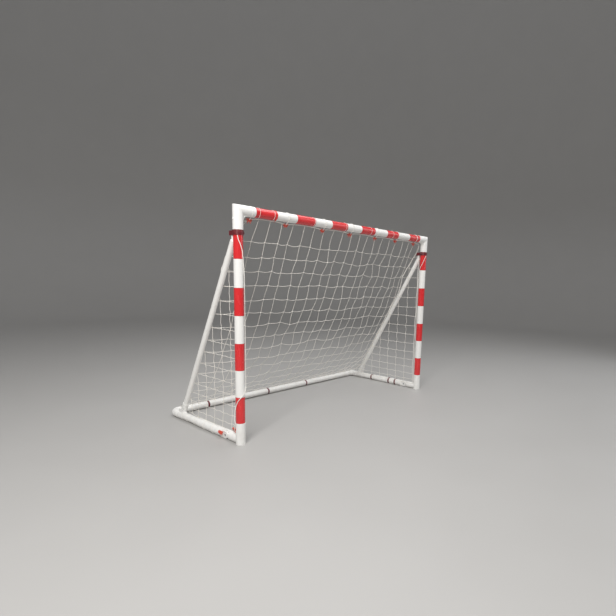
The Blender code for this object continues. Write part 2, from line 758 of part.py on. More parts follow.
def stanchion_foot(side):
    """Shoe at the tube's lower end, its sole cut to lie on the saddle's ramp."""
    name = side_name(side) + "_stanchion_foot"
    _, down, foot = stay_line(side)
    tube_end = foot - down * STAY_SHOE
    shoe_r = STAY_R + STAY_SHOE_WALL
    shoe = rod(name, tube_end + down * GAP, foot + down * 3 * shoe_r, shoe_r, WHITE_FITTING,
               sides=SMALL_SIDES)
    plug_r = STAY_R - STAY_WALL - GAP
    plug = rod(name + "_plug", tube_end - down * STAY_PLUG, tube_end + down * 2 * GAP, plug_r,
               sides=SMALL_SIDES)
    join(shoe, plug)
    point, normal = ramp_point(side)
    below = half_space(name + "_below", point + normal * GAP, -normal)
    cut(shoe, below)
    return shoe


# Net

def lattice(name, columns, rows, crossing, across, down):
    """A square-stranded net: one crossing point for each column and row line, then thickness.

    crossing gives the point of column line i and row line j; across and down are the unit
    vectors in which a strand's width is measured.
    """
    bm = bmesh.new()
    bmesh.ops.create_grid(bm, x_segments=2 * columns + 1, y_segments=2 * rows + 1, size=0.5)
    bm.verts.ensure_lookup_table()
    bm.faces.ensure_lookup_table()
    half = STRAND / 2
    line = 2 * columns + 2
    gaps = [
        bm.faces[j * (line - 1) + i]
        for j in range(1, 2 * rows, 2)
        for i in range(1, 2 * columns, 2)
    ]
    bmesh.ops.delete(bm, geom=gaps, context="FACES_ONLY")
    bm.verts.ensure_lookup_table()
    for index, vertex in enumerate(bm.verts):
        j, i = divmod(index, line)
        sign_i = 1 if i % 2 else -1
        sign_j = 1 if j % 2 else -1
        vertex.co = crossing(i // 2, j // 2) + sign_i * half * across + sign_j * half * down
    bmesh.ops.recalc_face_normals(bm, faces=bm.faces)
    net = mesh_object(name, bm, NET_CORD)
    thicken = net.modifiers.new("strand", "SOLIDIFY")
    thicken.thickness = STRAND
    thicken.offset = 0
    return net


def net_line(row):
    """Where the flat back net's row line crosses the goal's sides: y and z."""
    share = row / NET_ROWS
    head = Vector((0, FRONT_Y + HEAD_BACK, CROSSBAR_Z - HEAD_DROP))
    hem = Vector((0, REAR_Y, BASE_Z + BASE_FITTING_R + GAP + STRAND * math.sqrt(0.5)))
    return head.lerp(hem, share)


def net_back():
    """Sloping back net, slack in the middle, between the head rope and the rear rail."""
    slope = (net_line(NET_ROWS) - net_line(0)).normalized()
    inwards = Vector((0, slope.z, -slope.y))
    half_width = SIDE_NET_X - STRAND - GAP

    def crossing(i, j):
        point = net_line(j)
        point.x = half_width * (2 * i / NET_COLUMNS - 1)
        bulge = math.sin(math.pi * i / NET_COLUMNS) * math.sin(math.pi * j / NET_ROWS)
        return point + inwards * NET_SAG * bulge

    return lattice("net_back", NET_COLUMNS, NET_ROWS, crossing, Vector((1, 0, 0)), slope)


def net_side(side):
    """Side net between the post, the side rail and the seam with the back net."""
    rail_reach = BASE_FITTING_R + GAP + STRAND * math.sqrt(0.5)
    hem_z = BASE_Z + math.sqrt(rail_reach**2 - SIDE_OUT**2)
    post_reach = CLAMP_R + GAP + STRAND * math.sqrt(0.5)
    front = FRONT_Y + math.sqrt(post_reach**2 - SIDE_OUT**2)
    rows = NET_ROWS - SIDE_FIRST_ROW

    def crossing(i, j):
        seam = net_line(j + SIDE_FIRST_ROW)
        y = front + (seam.y - front) * i / SIDE_COLUMNS
        z = hem_z if j == rows else seam.z
        return Vector((side * SIDE_NET_X, y, z))

    name = f"net_{side_name(side)}"
    return lattice(name, SIDE_COLUMNS, rows, crossing, Vector((0, 1, 0)), Vector((0, 0, -1)))


def crossbar_tie(number, x):
    """Cord loop round the crossbar and the net's head rope."""
    head = Vector((0, HEAD_BACK, -HEAD_DROP))
    toward = math.atan2(head.z, head.y)
    tip_r = STRAND * math.sqrt(0.5) + GAP + TIE_R
    bar_r = TAPED_R + GAP + TIE_R
    spread = math.acos((bar_r - tip_r) / head.length)
    arc_step = (2 * math.pi - 2 * spread) / (TIE_ARC_POINTS - 1)
    tip_step = 2 * spread / (TIE_TIP_POINTS - 1)
    points = []
    for k in range(TIE_ARC_POINTS):
        turn = toward + spread + k * arc_step
        radius = bar_r / math.cos(arc_step / 2)
        points.append((x, radius * math.cos(turn), radius * math.sin(turn)))
    for k in range(TIE_TIP_POINTS):
        turn = toward - spread + k * tip_step
        radius = tip_r / math.cos(tip_step / 2)
        points.append((x, head.y + radius * math.cos(turn), head.z + radius * math.sin(turn)))
    tie = curve_object(f"crossbar_tie_{number}", points, TIE_R, TIE_SIDES, cyclic=True)
    tie.location = (0, FRONT_Y, CROSSBAR_Z)
    return register(tie, TIE_CORD)


def crossbar_ties():
    step = 2 * TIE_END / (TIE_COUNT - 1)
    return [crossbar_tie(k + 1, -TIE_END + k * step) for k in range(TIE_COUNT)]


# Whole goal

def build():
    clear_scene()
    front = joint_empty("front_frame_root", (0, FRONT_Y, 0))
    fold = joint_empty("base_fold_axis", (0, HINGE_Y, BASE_Z))
    frame_pieces = crossbar() + bands() + crossbar_ties() + [net_back()]
    base_pieces = [rear_rail()]
    for side in (-1, 1):
        frame_pieces += [
            post(side),
            top_corner(side),
            foot_corner(side),
            hinge_pin(side),
            post_clamp(side),
            clamp_bolt(side),
            stanchion_pin(side),
            button_spring(side),
            net_side(side),
        ]
        base_pieces += [base_knuckle(side), side_rail(side), rear_corner(side), rail_saddle(side)]
        swing = joint_empty(side_name(side) + "_stanchion_swing_axis", at(side, POST_X, PIN_Y, CLAMP_Z))
        for piece in (stanchion_tube(side), stanchion_head(side), stanchion_foot(side)):
            follow(piece, swing)
        slide = joint_empty(side_name(side) + "_button_axis", at(side, POST_X, FRONT_Y, BUTTON_Z))
        follow(corner_button(side), slide)
    for piece in frame_pieces:
        follow(piece, front)
    for piece in base_pieces:
        follow(piece, fold)


build()
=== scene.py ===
# %% [markdown]
# # A folding handball goal, dressed for its picture
#
# The packed model already holds every tube, corner, clamp and pin at its real size.
# This lesson gives those pieces their finishes, hangs a knotted net on the frame,
# ties it on with cord, and sets up a floor, lamps and a camera.
# Lengths are in metres. X runs along the crossbar, Y from the goal mouth to the rear
# rail, and Z upwards. The origin is on the floor under the middle of the goal.

# %% Load the frame
import json
import math

import bpy
import numpy as np
from mathutils import Matrix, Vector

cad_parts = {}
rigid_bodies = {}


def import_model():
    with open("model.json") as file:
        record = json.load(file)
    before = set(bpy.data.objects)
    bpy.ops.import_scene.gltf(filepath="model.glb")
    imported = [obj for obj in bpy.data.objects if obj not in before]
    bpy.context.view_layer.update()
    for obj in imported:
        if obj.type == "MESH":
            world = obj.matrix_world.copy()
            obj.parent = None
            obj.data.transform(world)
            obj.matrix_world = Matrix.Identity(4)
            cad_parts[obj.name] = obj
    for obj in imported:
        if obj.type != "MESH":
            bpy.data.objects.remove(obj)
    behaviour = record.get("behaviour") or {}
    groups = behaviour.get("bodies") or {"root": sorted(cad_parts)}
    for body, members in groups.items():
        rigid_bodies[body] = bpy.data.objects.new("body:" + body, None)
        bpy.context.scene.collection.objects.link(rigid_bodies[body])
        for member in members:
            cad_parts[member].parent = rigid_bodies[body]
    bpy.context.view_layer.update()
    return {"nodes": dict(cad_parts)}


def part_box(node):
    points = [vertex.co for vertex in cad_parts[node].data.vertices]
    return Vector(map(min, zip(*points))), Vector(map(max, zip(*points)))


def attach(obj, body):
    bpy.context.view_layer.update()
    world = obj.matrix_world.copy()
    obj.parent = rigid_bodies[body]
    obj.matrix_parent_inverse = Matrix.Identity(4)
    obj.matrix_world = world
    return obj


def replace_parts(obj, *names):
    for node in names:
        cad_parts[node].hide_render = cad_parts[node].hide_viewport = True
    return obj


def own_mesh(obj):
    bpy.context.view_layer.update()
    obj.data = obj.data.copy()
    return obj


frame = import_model()
print("nodes:", len(frame["nodes"]))

# %% [markdown]
# ## The camera
#
# The photograph was taken from the front, left of the goal, a little below the
# crossbar and looking slightly down. A lens is found from stripes of known length:
# eleven on the crossbar and seven on each post, each 200 mm long. The picture seems
# cut from a larger one, because the middle of the view lies right of the frame's
# middle and below it. A small lens shift does the same.

# %% Camera
PHOTO = 616  # the photograph's width and height in pixels
FOCAL = 440.5  # focal length in the photograph's pixels
VIEW_CENTRE = (350.3, 351.9)  # the pixel that the lens looks straight at
CAMERA_PLACE = (-3.128, -3.158, 1.252)
CAMERA_ANGLES = (49.74, -9.41, 1.60)  # yaw, pitch and roll in degrees
SENSOR = 36.0  # the sensor's width in millimetres


def turn_matrix(yaw, pitch, roll):
    """Camera axes: yaw turns from +Y towards +X, pitch lifts the view, roll tips it."""
    ahead = [math.sin(yaw) * math.cos(pitch), math.cos(yaw) * math.cos(pitch), math.sin(pitch)]
    forward = np.array(ahead)
    level = np.array([math.cos(yaw), -math.sin(yaw), 0.0])
    above = np.cross(level, forward)
    right = level * math.cos(roll) + above * math.sin(roll)
    up = above * math.cos(roll) - level * math.sin(roll)
    return Matrix(np.column_stack([right, up, -forward]).tolist())


def add_camera(place, angles, focal, centre):
    """A camera whose focal length and view centre are given in pixels of the photograph."""
    data = bpy.data.cameras.new("photo_camera")
    data.sensor_width = SENSOR
    data.lens = focal / PHOTO * SENSOR
    data.shift_x = (PHOTO / 2 - centre[0]) / PHOTO
    data.shift_y = (centre[1] - PHOTO / 2) / PHOTO
    data.clip_start = 0.02
    camera = bpy.data.objects.new("photo_camera", data)
    camera.matrix_world = Matrix.Translation(place) @ turn_matrix(*np.radians(angles)).to_4x4()
    bpy.context.scene.collection.objects.link(camera)
    return camera


camera = add_camera(CAMERA_PLACE, CAMERA_ANGLES, FOCAL, VIEW_CENTRE)
bpy.context.scene.camera = camera
print("lens", round(camera.data.lens, 2), "mm")
print("shift", round(camera.data.shift_x, 3), round(camera.data.shift_y, 3))

# %% [markdown]
# ## Where the frame stands
#
# The net and its cords sit on the tubes, so the tubes' own boxes give their places.
# A box has a lowest and a highest corner. The middle of a tube's box is its axis, and
# the top of the box less the axis is its radius. A stanchion leans, so its axis is
# drawn between the middles of its tube's two end rings.

# %% Places on the frame


def middle(node):
    """The middle of a node's box."""
    low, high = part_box(node)
    return (np.array(low) + np.array(high)) / 2


def tube_ends(node):
    """The middles of a straight tube's upper and lower end."""
    points = np.array([vertex.co[:] for vertex in frame["nodes"][node].data.vertices])
    points = np.unique(np.round(points, 5), axis=0)
    high = points[:, 2] > points[:, 2].mean()
    return points[high].mean(axis=0), points[~high].mean(axis=0)


POST = middle("right_post")
POST_X, FRONT = float(POST[0]), float(POST[1])
CROSSBAR_Z = float(middle("crossbar")[2])
CLAMP_Z = float(middle("right_post_clamp")[2])
REAR = float(middle("rear_rail")[1])
RAIL_Z = float(middle("rear_rail")[2])
TAPED_R = float(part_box("crossbar_band_1")[1][2]) - CROSSBAR_Z
RAIL_R = float(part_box("rear_rail")[1][2]) - RAIL_Z
SLEEVE_R = float(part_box("right_base_knuckle")[1][2]) - RAIL_Z
STAY_TOP, STAY_FOOT = tube_ends("right_stanchion_tube")
SIDES = ((-1, "left"), (1, "right"))
print("post axis", round(POST_X, 4), round(FRONT, 4), "crossbar", round(CROSSBAR_Z, 4))
print("rear rail", round(REAR, 4), round(RAIL_Z, 4))
print("taped tube", round(TAPED_R, 4), "rail", round(RAIL_R, 4), "sleeve", round(SLEEVE_R, 4))
print("stanchion from", STAY_TOP.round(4), "to", STAY_FOOT.round(4))

# %% [markdown]
# ## Putting arrays into a mesh
#
# Every new piece is a set of points and a set of faces, both worked out as whole numpy
# arrays. Blender stores a mesh as one long list of corners, so the faces are laid end
# to end, with a list of where each one starts. A texture place for each corner lets a
# cord's twist follow the cord.

# %% Mesh helper


def add_piece(name, points, faces, places, body, material_name):
    """One object at the origin. faces and places are matching lists of arrays."""
    mesh = bpy.data.meshes.new(name)
    corners = np.concatenate([f.ravel() for f in faces])
    sizes = np.concatenate([np.full(len(f), f.shape[1]) for f in faces])
    corner_places = np.concatenate([p.reshape(-1, 2) for p in places])
    mesh.vertices.add(len(points))
    mesh.vertices.foreach_set("co", points.astype(np.float32).ravel())
    mesh.loops.add(len(corners))
    mesh.loops.foreach_set("vertex_index", corners.astype(np.int32))
    mesh.polygons.add(len(sizes))
    mesh.polygons.foreach_set("loop_start", (np.cumsum(sizes) - sizes).astype(np.int32))
    layer = mesh.uv_layers.new(name="along")
    layer.data.foreach_set("uv", corner_places.astype(np.float32).ravel())
    mesh.update(calc_edges=True)
    mesh.validate()
    mesh.shade_smooth()
    obj = bpy.data.objects.new(name, mesh)
    bpy.context.scene.collection.objects.link(obj)
    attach(obj, body)
    print(name, len(sizes), "faces")
    return obj


# %% [markdown]
# ## Cord as a swept circle
#
# A cord is a circle carried along a path. At each point of the path two directions
# square to it span the circle. They come from one reference direction by cross
# products, so many paths can be swept at once, as one array of lines, points and
# sides. A ring's first corner meets its last, which closes the tube, and a flat cap
# closes each end.

# %% Sweep


def unit(vectors):
    """Each vector divided by its length."""
    return vectors / np.linalg.norm(vectors, axis=-1, keepdims=True)


def full_turn(count):
    """The angles of equal steps once round."""
    return 2 * np.pi * np.arange(count) / count


def sweep(paths, radius, sides, reference, closed=False):
    """Tubes along paths of shape (lines, points, 3).

    A point of the surface is: path + radius * (cos a * across + sin a * lift), where
    across is the path's direction crossed with the reference, and lift is across
    crossed with the direction.
    """
    lines, count = paths.shape[:2]
    if closed:
        direction = unit(np.roll(paths, -1, axis=1) - np.roll(paths, 1, axis=1))
    else:
        direction = unit(np.gradient(paths, axis=1))
    across = unit(np.cross(direction, np.asarray(reference, float)))
    lift = np.cross(across, direction)
    turn = full_turn(sides)
    ring = across[:, :, None] * np.cos(turn)[:, None] + lift[:, :, None] * np.sin(turn)[:, None]
    points = (paths[:, :, None] + radius * ring).reshape(-1, 3)
    # Faces join each ring to the one ahead
    spans = count if closed else count - 1
    line = np.arange(lines)[:, None, None]
    i = np.arange(spans)[None, :, None]
    j = np.arange(sides)[None, None, :]
    here, ahead = (line * count + i) * sides, (line * count + (i + 1) % count) * sides
    faces = np.stack([here + j, here + (j + 1) % sides, ahead + (j + 1) % sides, ahead + j], -1)
    # A corner's texture place is its metres along the cord and its share of the way round
    step = np.linalg.norm(np.roll(paths, -1, axis=1) - paths, axis=-1)
    length = np.concatenate([np.zeros((lines, 1)), np.cumsum(step, axis=1)], 1)
    start, end = length[:, :spans, None] + 0 * j, length[:, 1 : spans + 1, None] + 0 * j
    left, right = (j + 0 * start) / sides, (j + 1 + 0 * start) / sides
    places = np.stack([start, left, start, right, end, right, end, left], -1)
    all_faces, all_places = [faces.reshape(-1, 4)], [places.reshape(-1, 4, 2)]
    if not closed:
        first = np.arange(lines)[:, None] * count * sides + np.arange(sides)[::-1]
        last = (np.arange(lines)[:, None] * count + count - 1) * sides + np.arange(sides)
        caps = np.concatenate([first, last])
        all_faces.append(caps)
        all_places.append(np.zeros((len(caps), sides, 2)))
    return points, all_faces, all_places


def gather(*parts):
    """Several sets of points, faces and places as one set."""
    offsets = np.cumsum([0] + [len(part[0]) for part in parts[:-1]])
    points = np.concatenate([part[0] for part in parts])
    faces = [f + offset for part, offset in zip(parts, offsets) for f in part[1]]
    places = [p for part in parts for p in part[2]]
    return points, faces, places


# %% [markdown]
# ## A knot
#
# Where two cords of the net cross they are knotted. From any distance a knot is a
# small lump, wider than the cord, with two lobes. A ball on a grid of turn and tilt
# angles does this once its radius swells and shrinks with the turn.

# %% Knots
LOBES = 0.22  # how much a knot's radius swells and shrinks


def knots(centres, radius, sides=7, rings=4):
    """Lumps round centres: balls of radius r * (1 + 0.22 * cos(2 * turn + 3 * tilt))."""
    tilt = np.pi * (np.arange(rings) + 1) / (rings + 1)
    turn = full_turn(sides)
    swell = (1 + LOBES * np.cos(2 * turn[None, :] + 3 * tilt[:, None])) * np.sin(tilt)[:, None]
    height = np.broadcast_to(np.cos(tilt)[:, None], swell.shape)
    shape = np.stack([swell * np.cos(turn), swell * np.sin(turn), height], -1).reshape(-1, 3)
    shape = np.concatenate([shape, [[0, 0, 1], [0, 0, -1]]])
    points = (centres[:, None] + radius * shape).reshape(-1, 3)
    base = np.arange(len(centres))[:, None, None] * len(shape)
    i, j = np.arange(rings - 1)[None, :, None], np.arange(sides)[None, None, :]
    nxt = (j + 1) % sides
    here, below = i * sides, (i + 1) * sides
    low = (rings - 1) * sides
    walls = np.stack([here + j, below + j, below + nxt, here + nxt], -1)
    top = np.stack([0 * j + rings * sides, j, nxt], -1)
    bottom = np.stack([0 * j + rings * sides + 1, low + nxt, low + j], -1)
    faces = [(walls + base[..., None]).reshape(-1, 4)]
    faces += [(cap + base[..., None]).reshape(-1, 3) for cap in (top, bottom)]
    return points, faces, [np.zeros((*f.shape, 2)) for f in faces]


# %% [markdown]
# ## The line of the head rope
#
# A rope carries the net's upper edge. It hugs the crossbar from below and dips where a
# tie holds it, steeply on both sides of the knot. One function that is 1 at a tie and
# 0 halfway to the next gives both its height and how far back it lies.

# %% Head rope line
ROPE_R = 0.0034
ROPE_DROP = 0.0020  # air between the tape and the rope
TIE_X = np.array([-1.130, -0.787, -0.380, -0.025, 0.350, 0.690, 1.035])
TIE_STEEP = 2.5
HEAD_TOP = CROSSBAR_Z - TAPED_R - ROPE_R - ROPE_DROP
HEAD_DIP = 0.011  # how far the rope dips at a tie
HEAD_BACK = 0.014  # how far behind the posts' axes it lies at a tie
HEAD_REST = 0.004  # the same between two ties


def near_tie(x):
    """1 at a tie and 0 halfway to the next.

    |2 * beat - 1| to the power of 2.5, where beat is the share of the way between two ties.
    """
    beat = np.interp(x, TIE_X, np.arange(len(TIE_X)))
    return np.abs(2 * (beat - np.floor(beat)) - 1) ** TIE_STEEP


def head_line(x):
    """Y and height of the head rope, which dips and moves back at the ties."""
    tied = near_tie(x)
    return FRONT + HEAD_REST + (HEAD_BACK - HEAD_REST) * tied, HEAD_TOP - HEAD_DIP * tied


print("rope under the bar at", round(HEAD_TOP, 4), "and at a tie", round(HEAD_TOP - HEAD_DIP, 4))

# %% [markdown]
# ## The seams
#
# At the crossbar's ends the head rope turns down into the seams, where the back net
# meets the side nets. A seam hangs back from the post, reaches its stanchion at two
# thirds of the height, runs down behind it and ends on the rear rail. A few points
# give the free parts. The part on the stanchion follows the stanchion's own axis.

# %% Seam lines
HEM_Z = RAIL_Z + 0.0364  # the back net's lower edge, on top of the rear rail
STAY_SIDE = 0.022  # from a stanchion's axis to the seam, inwards and again backwards
STAY_HEIGHTS = np.array([1.12, 1.00, 0.80, 0.60, 0.40, 0.25, 0.17])
# Each row is a distance out from the middle, a distance behind the posts' axes and a height
SEAM_FROM_BAR = [
    (1.1500, 0.014, 1.638),
    (1.1900, 0.036, 1.632),
    (1.2075, 0.052, 1.600),
    (1.2085, 0.078, 1.550),
    (1.2080, 0.118, 1.500),
    (1.2075, 0.182, 1.400),
    (1.2070, 0.248, 1.300),
    (1.2065, 0.262, 1.210),
]
SEAM_TO_RAIL = [(1.183, 0.930, 0.085), (1.165, REAR - FRONT, HEM_Z)]


def stay_axis(height):
    """How far out and how far behind the post axis a stanchion's axis is at a height."""
    share = (STAY_TOP[2] - height) / (STAY_TOP[2] - STAY_FOOT[2])
    out = STAY_TOP[0] + share * (STAY_FOOT[0] - STAY_TOP[0])
    back = STAY_TOP[1] + share * (STAY_FOOT[1] - STAY_TOP[1]) - FRONT
    return out, back


out, back = stay_axis(STAY_HEIGHTS)
seam_on_stay = np.stack([out - STAY_SIDE, back + STAY_SIDE, STAY_HEIGHTS], -1)
SEAM = np.concatenate([SEAM_FROM_BAR, seam_on_stay, SEAM_TO_RAIL])
NET_X, NET_Z = SEAM[0, 0], SEAM[0, 2]  # how far out and how high the net's top corners are


def seam(v):
    """Distance out, Y and height of a seam, from the head rope (v = 0) to the rail (v = 1)."""
    z = NET_Z + (HEM_Z - NET_Z) * v
    rising = SEAM[::-1]
    out = np.interp(z, rising[:, 2], rising[:, 0])
    return out, FRONT + np.interp(z, rising[:, 2], rising[:, 1]), z


print("seam", len(SEAM), "points, from", NET_Z, "down to", round(HEM_Z, 4))

# %% [markdown]
# ## The slack back net
#
# The back net hangs from the crossbar to the rear rail. Its holes are 118 mm squares.
# A hung net is never flat: it falls steeply from the bar and bellies inwards before it
# goes back to the rail. Its angle from the vertical grows from 20 degrees at the bar to
# 70 at the rail, slowly at first. Adding up the sines and cosines of that angle gives
# the curve, and one mesh width after another along the curve gives the rows.

# %% Hanging curve
MESH = 0.1182
NET_ROWS = 16
TOP_ANGLE, HEM_ANGLE = np.radians([20.0, 70.0])
CURVE_POINTS = 401


def hanging_curve():
    """Length along the net, distance behind the posts' axes and height, as matching lists.

    angle = top angle + (hem angle - top angle) * share of the length, to the power of 3.
    """
    share = np.linspace(0, 1, CURVE_POINTS)
    angle = TOP_ANGLE + (HEM_ANGLE - TOP_ANGLE) * share**3
    both = np.stack([np.sin(angle), np.cos(angle)])
    run, drop = np.cumsum((both[:, 1:] + both[:, :-1]) / 2, axis=1) * share[1]
    run, drop = np.append(0, run), np.append(0, drop)
    length = (NET_Z - HEM_Z) / drop[-1]
    back = HEAD_BACK + (REAR - FRONT - HEAD_BACK) * run / run[-1]
    return length * share, back, NET_Z - length * drop


HANG_LENGTH, HANG_BACK, HANG_Z = hanging_curve()
row_length = np.append(0, HANG_LENGTH[-1] - MESH * np.arange(NET_ROWS - 1, -1, -1))
row_z = np.interp(row_length, HANG_LENGTH, HANG_Z)
ROW_V = (row_z[0] - row_z) / (row_z[0] - row_z[-1])
print("back net", round(HANG_LENGTH[-1], 3), "m down its curve, first rows at", row_z[:4].round(3))

# %% [markdown]
# ## The back net as a surface
#
# The surface is a function of u across and v down, both from 0 to 1. It takes the
# hanging curve in the middle and is drawn to the seams near both edges. The upright
# cords stand one mesh width apart, counted from the middle, and the seams close the row.

# %% Back net surface
WIDEST = 1.2075  # half the width of the back net
EDGE_PULL = 10  # the higher, the closer to the edges the pull of the seams starts
TIE_LIFT = 0.014  # how far the first rows rise towards a tie
TIE_FADE = 30  # how fast that fades down the net
column_x = MESH * np.arange(-9, 10)
COLUMN_U = np.concatenate([[0.0], 0.5 + column_x / (2 * WIDEST), [1.0]])


def back_surface(u, v):
    """The hanging profile, pulled to the seams at both edges.

    pull = |2u - 1| to the power of 10. The first rows rise towards the ties by 14 mm times
    e to the power of -30 v, and the top row is the head rope itself.
    """
    seam_out, seam_y, z = seam(v)
    across = 2 * u - 1
    pull = np.abs(across) ** EDGE_PULL
    x = WIDEST * across + np.sign(across) * pull * (seam_out - WIDEST)
    y = FRONT + np.interp(-z, -HANG_Z, HANG_BACK)
    y = y + pull * (seam_y - y)
    z = z + TIE_LIFT * near_tie(x) * np.exp(-TIE_FADE * v) * (1 - pull)
    head_y, head_z = head_line(x)
    on_rope = np.clip(1 - v / ROW_V[1], 0, 1) * (1 - pull)
    return np.stack([x, y + on_rope * (head_y - y), z + on_rope * (head_z - z)], -1)


u, v = np.meshgrid(COLUMN_U, ROW_V, indexing="ij")
print("knots across and down", back_surface(u, v).shape[:2])

# %% [markdown]
# ## Slack in the cords
#
# A used net is uneven. Each knot is moved a little along the net, down it and off it,
# by steps from one seeded source of chance, so every run gives the same net. Between
# two knots a cord bows: the level ones droop, and all of them wander sideways.

# %% Loose knots and strands
SLOPE = unit(np.array([0.0, REAR - FRONT, HEM_Z - HEAD_TOP]))
INWARDS = np.array([0.0, SLOPE[2], -SLOPE[1]])
LOOSE_ALONG, LOOSE_DOWN, LOOSE_OFF = 0.006, 0.007, 0.009  # typical step of a knot
EDGE_HOLD = 12  # the higher, the nearer to the edges the knots already move freely
HOLE_STEPS = 4
shake = np.random.default_rng(7)


def loosened(knot_points, edge):
    """Knots moved by small random steps, less where edge is below 1."""
    noise = shake.normal(size=(*knot_points.shape[:2], 3)) * edge[..., None]
    along = noise[..., :1] * np.array([LOOSE_ALONG, 0, 0])
    down = noise[..., 1:2] * SLOPE * LOOSE_DOWN
    return knot_points + along + down + noise[..., 2:] * (INWARDS * LOOSE_OFF)


def strands(knot_points, droop, wander):
    """Paths along axis 1 of a grid of knots.

    In each hole a cord bows by 4 * t * (1 - t) times droop downwards and wander at random.
    """
    start, end = knot_points[:, :-1, None], knot_points[:, 1:, None]
    t = (np.arange(HOLE_STEPS) / HOLE_STEPS)[:, None]
    arch = 4 * t * (1 - t)
    side = shake.normal(size=(*start.shape[:2], 1, 3)) * wander
    inner = start + (end - start) * t + arch * (side - np.array([0, 0, droop]))
    flat = inner.reshape(knot_points.shape[0], -1, 3)
    return np.concatenate([flat, knot_points[:, -1:]], 1)


edge = np.minimum(1, EDGE_HOLD * u * (1 - u)) * np.minimum(1, EDGE_HOLD * v * (1 - v))
back_knots = loosened(back_surface(u, v), edge)
print("middle column, first heights", back_knots[10, :3, 2].round(3))

# %% [markdown]
# ## Weaving the back net
#
# Cords run both ways through the grid of knots, and a lump covers each crossing inside
# the edges. The top row has no cord of its own, because the head rope runs there. The
# finished net stands in for the packed model's coarse one.

# %% Back net mesh
NET_CORD_R = 0.0018
NET_SIDES = 5
KNOT_R = 0.0036
down_strands = strands(back_knots, droop=0.0, wander=0.0022)
cross_strands = strands(back_knots.transpose(1, 0, 2)[1:], droop=0.006, wander=0.0025)
back_net = add_piece(
    "net_mesh_back",
    *gather(
        sweep(down_strands, NET_CORD_R, NET_SIDES, reference=(1, 0.2, 0)),
        sweep(cross_strands, NET_CORD_R, NET_SIDES, reference=(0, 0.3, 1)),
        knots(back_knots[1:-1, 1:-1].reshape(-1, 3), KNOT_R),
    ),
    "front_frame",
    "net_cord",
)
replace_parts(back_net, "net_back")

# %% [markdown]
# ## The side nets
#
# Each side of the goal is closed by a net in the shape of a wedge. It passes inside the
# stanchion and leans inwards with it. Its rows meet the back net's rows at the seam.
# Its upright cords start at the side rail and stop at the seam, so each one is shorter
# than the one before it.

# %% Side net surface
SIDE_FRONT = FRONT + 0.042
SIDE_IN = 0.0255  # from the post axes inwards to the side nets
SIDE_LEAN = 0.0185  # how much further in they would be at the floor
SIDE_BILLOW = 0.008
SIDE_HEM_Z = RAIL_Z + 0.0245
RAIL_IN = 0.027  # from the post axes inwards to the hem on the side rails
SADDLE_IN = 0.0175  # how much further in the hem passes the saddle
SADDLE_BACK, SADDLE_RUN = 0.70, 0.08  # where it turns inwards, and over what length


def side_surface(side, s, v):
    """From the front edge (s = 0) to the seam (s = 1), and from the head rope down (v).

    The wedge leans inwards with the stanchion: out = post axis - 25.5 mm - 18.5 mm *
    (1 - z / clamp height), and billows inwards by up to 8 mm. It turns to the side rail
    with v to the power of 14, and to the seam with s to the power of 6.
    """
    seam_out, seam_y, z = seam(v)
    y = SIDE_FRONT + (seam_y - SIDE_FRONT) * s
    past = np.clip((y - FRONT - SADDLE_BACK) / SADDLE_RUN, 0, 1)
    low = v**14
    inside = POST_X - SIDE_IN - SIDE_LEAN * (1 - z / CLAMP_Z)
    rail = POST_X - RAIL_IN - SADDLE_IN * past * past * (3 - 2 * past)
    ripple = 0.5 + 0.5 * np.sin(7 * v + 3 * s)
    billow = SIDE_BILLOW * np.sin(np.pi * s) * np.sin(np.pi * v) * ripple
    out = inside * (1 - low) + rail * low - billow
    out = out + (seam_out - out) * s**6
    z = z - (HEM_Z - SIDE_HEM_Z) * low * (1 - s**8)
    return np.stack(np.broadcast_arrays(side * out, y, z), -1)


print("side nets reach back", round(REAR - SIDE_FRONT, 3), "m at the rail")

# %% Side net lines
SIDE_LINES = 8
SIDE_LEAST = 0.05  # the shortest row that is woven
SIDE_DROOP = 0.007
SIDE_STRAY = 0.004
SIDE_WAVE = 0.006
SIDE_ROWS = ROW_V[seam(ROW_V)[1] - SIDE_FRONT > SIDE_LEAST]
SIDE_Y = SIDE_FRONT + np.arange(1, SIDE_LINES) / SIDE_LINES * (REAR - SIDE_FRONT)
fine = np.linspace(0, 1, 2001)
SIDE_TOP = np.interp(SIDE_Y, seam(fine)[1], fine)  # v at which each upright meets the seam


def share_back(v):
    """Where each upright stands at v, as a share of the way from the front to the seam."""
    return np.clip((SIDE_Y[:, None] - SIDE_FRONT) / (seam(v)[1] - SIDE_FRONT), 0, 1)


def side_levels(side):
    """Level cords, which droop between two uprights and stray up or down as a whole."""
    rows = SIDE_ROWS[:, None]
    s = np.linspace(0, 1, 4 * SIDE_LINES + 1)
    path = side_surface(side, s + 0 * rows, rows + 0 * s)
    free = rows < 1
    hang = np.abs(np.sin(np.pi * SIDE_LINES * s)) * np.minimum(1, 6 * s * (1 - s))
    path[..., 2] -= SIDE_DROOP * hang * rows * free
    path[..., 2] += SIDE_STRAY * shake.normal(size=(len(rows), 1)) * np.sin(np.pi * s) * free
    return path


def side_uprights(side):
    """Upright cords from the seam to the rail, with one wave to and fro for each row."""
    t = np.linspace(0, 1, 49)
    v = SIDE_TOP[:, None] + (1 - SIDE_TOP[:, None]) * t
    path = side_surface(side, share_back(v), v)
    phase = 2 * np.pi * len(SIDE_ROWS) * v + 300 * SIDE_Y[:, None]
    path[..., 1] += SIDE_WAVE * np.sin(phase) * np.sin(np.pi * t)
    return path


def side_crossings(side):
    """The places where a level cord crosses an upright clear of the seam."""
    v = SIDE_ROWS + 0 * SIDE_TOP[:, None]
    return side_surface(side, share_back(v), v)[v > SIDE_TOP[:, None] + 0.02]


print("side net", len(SIDE_ROWS), "rows and", len(SIDE_Y), "uprights")

# %% Side net meshes


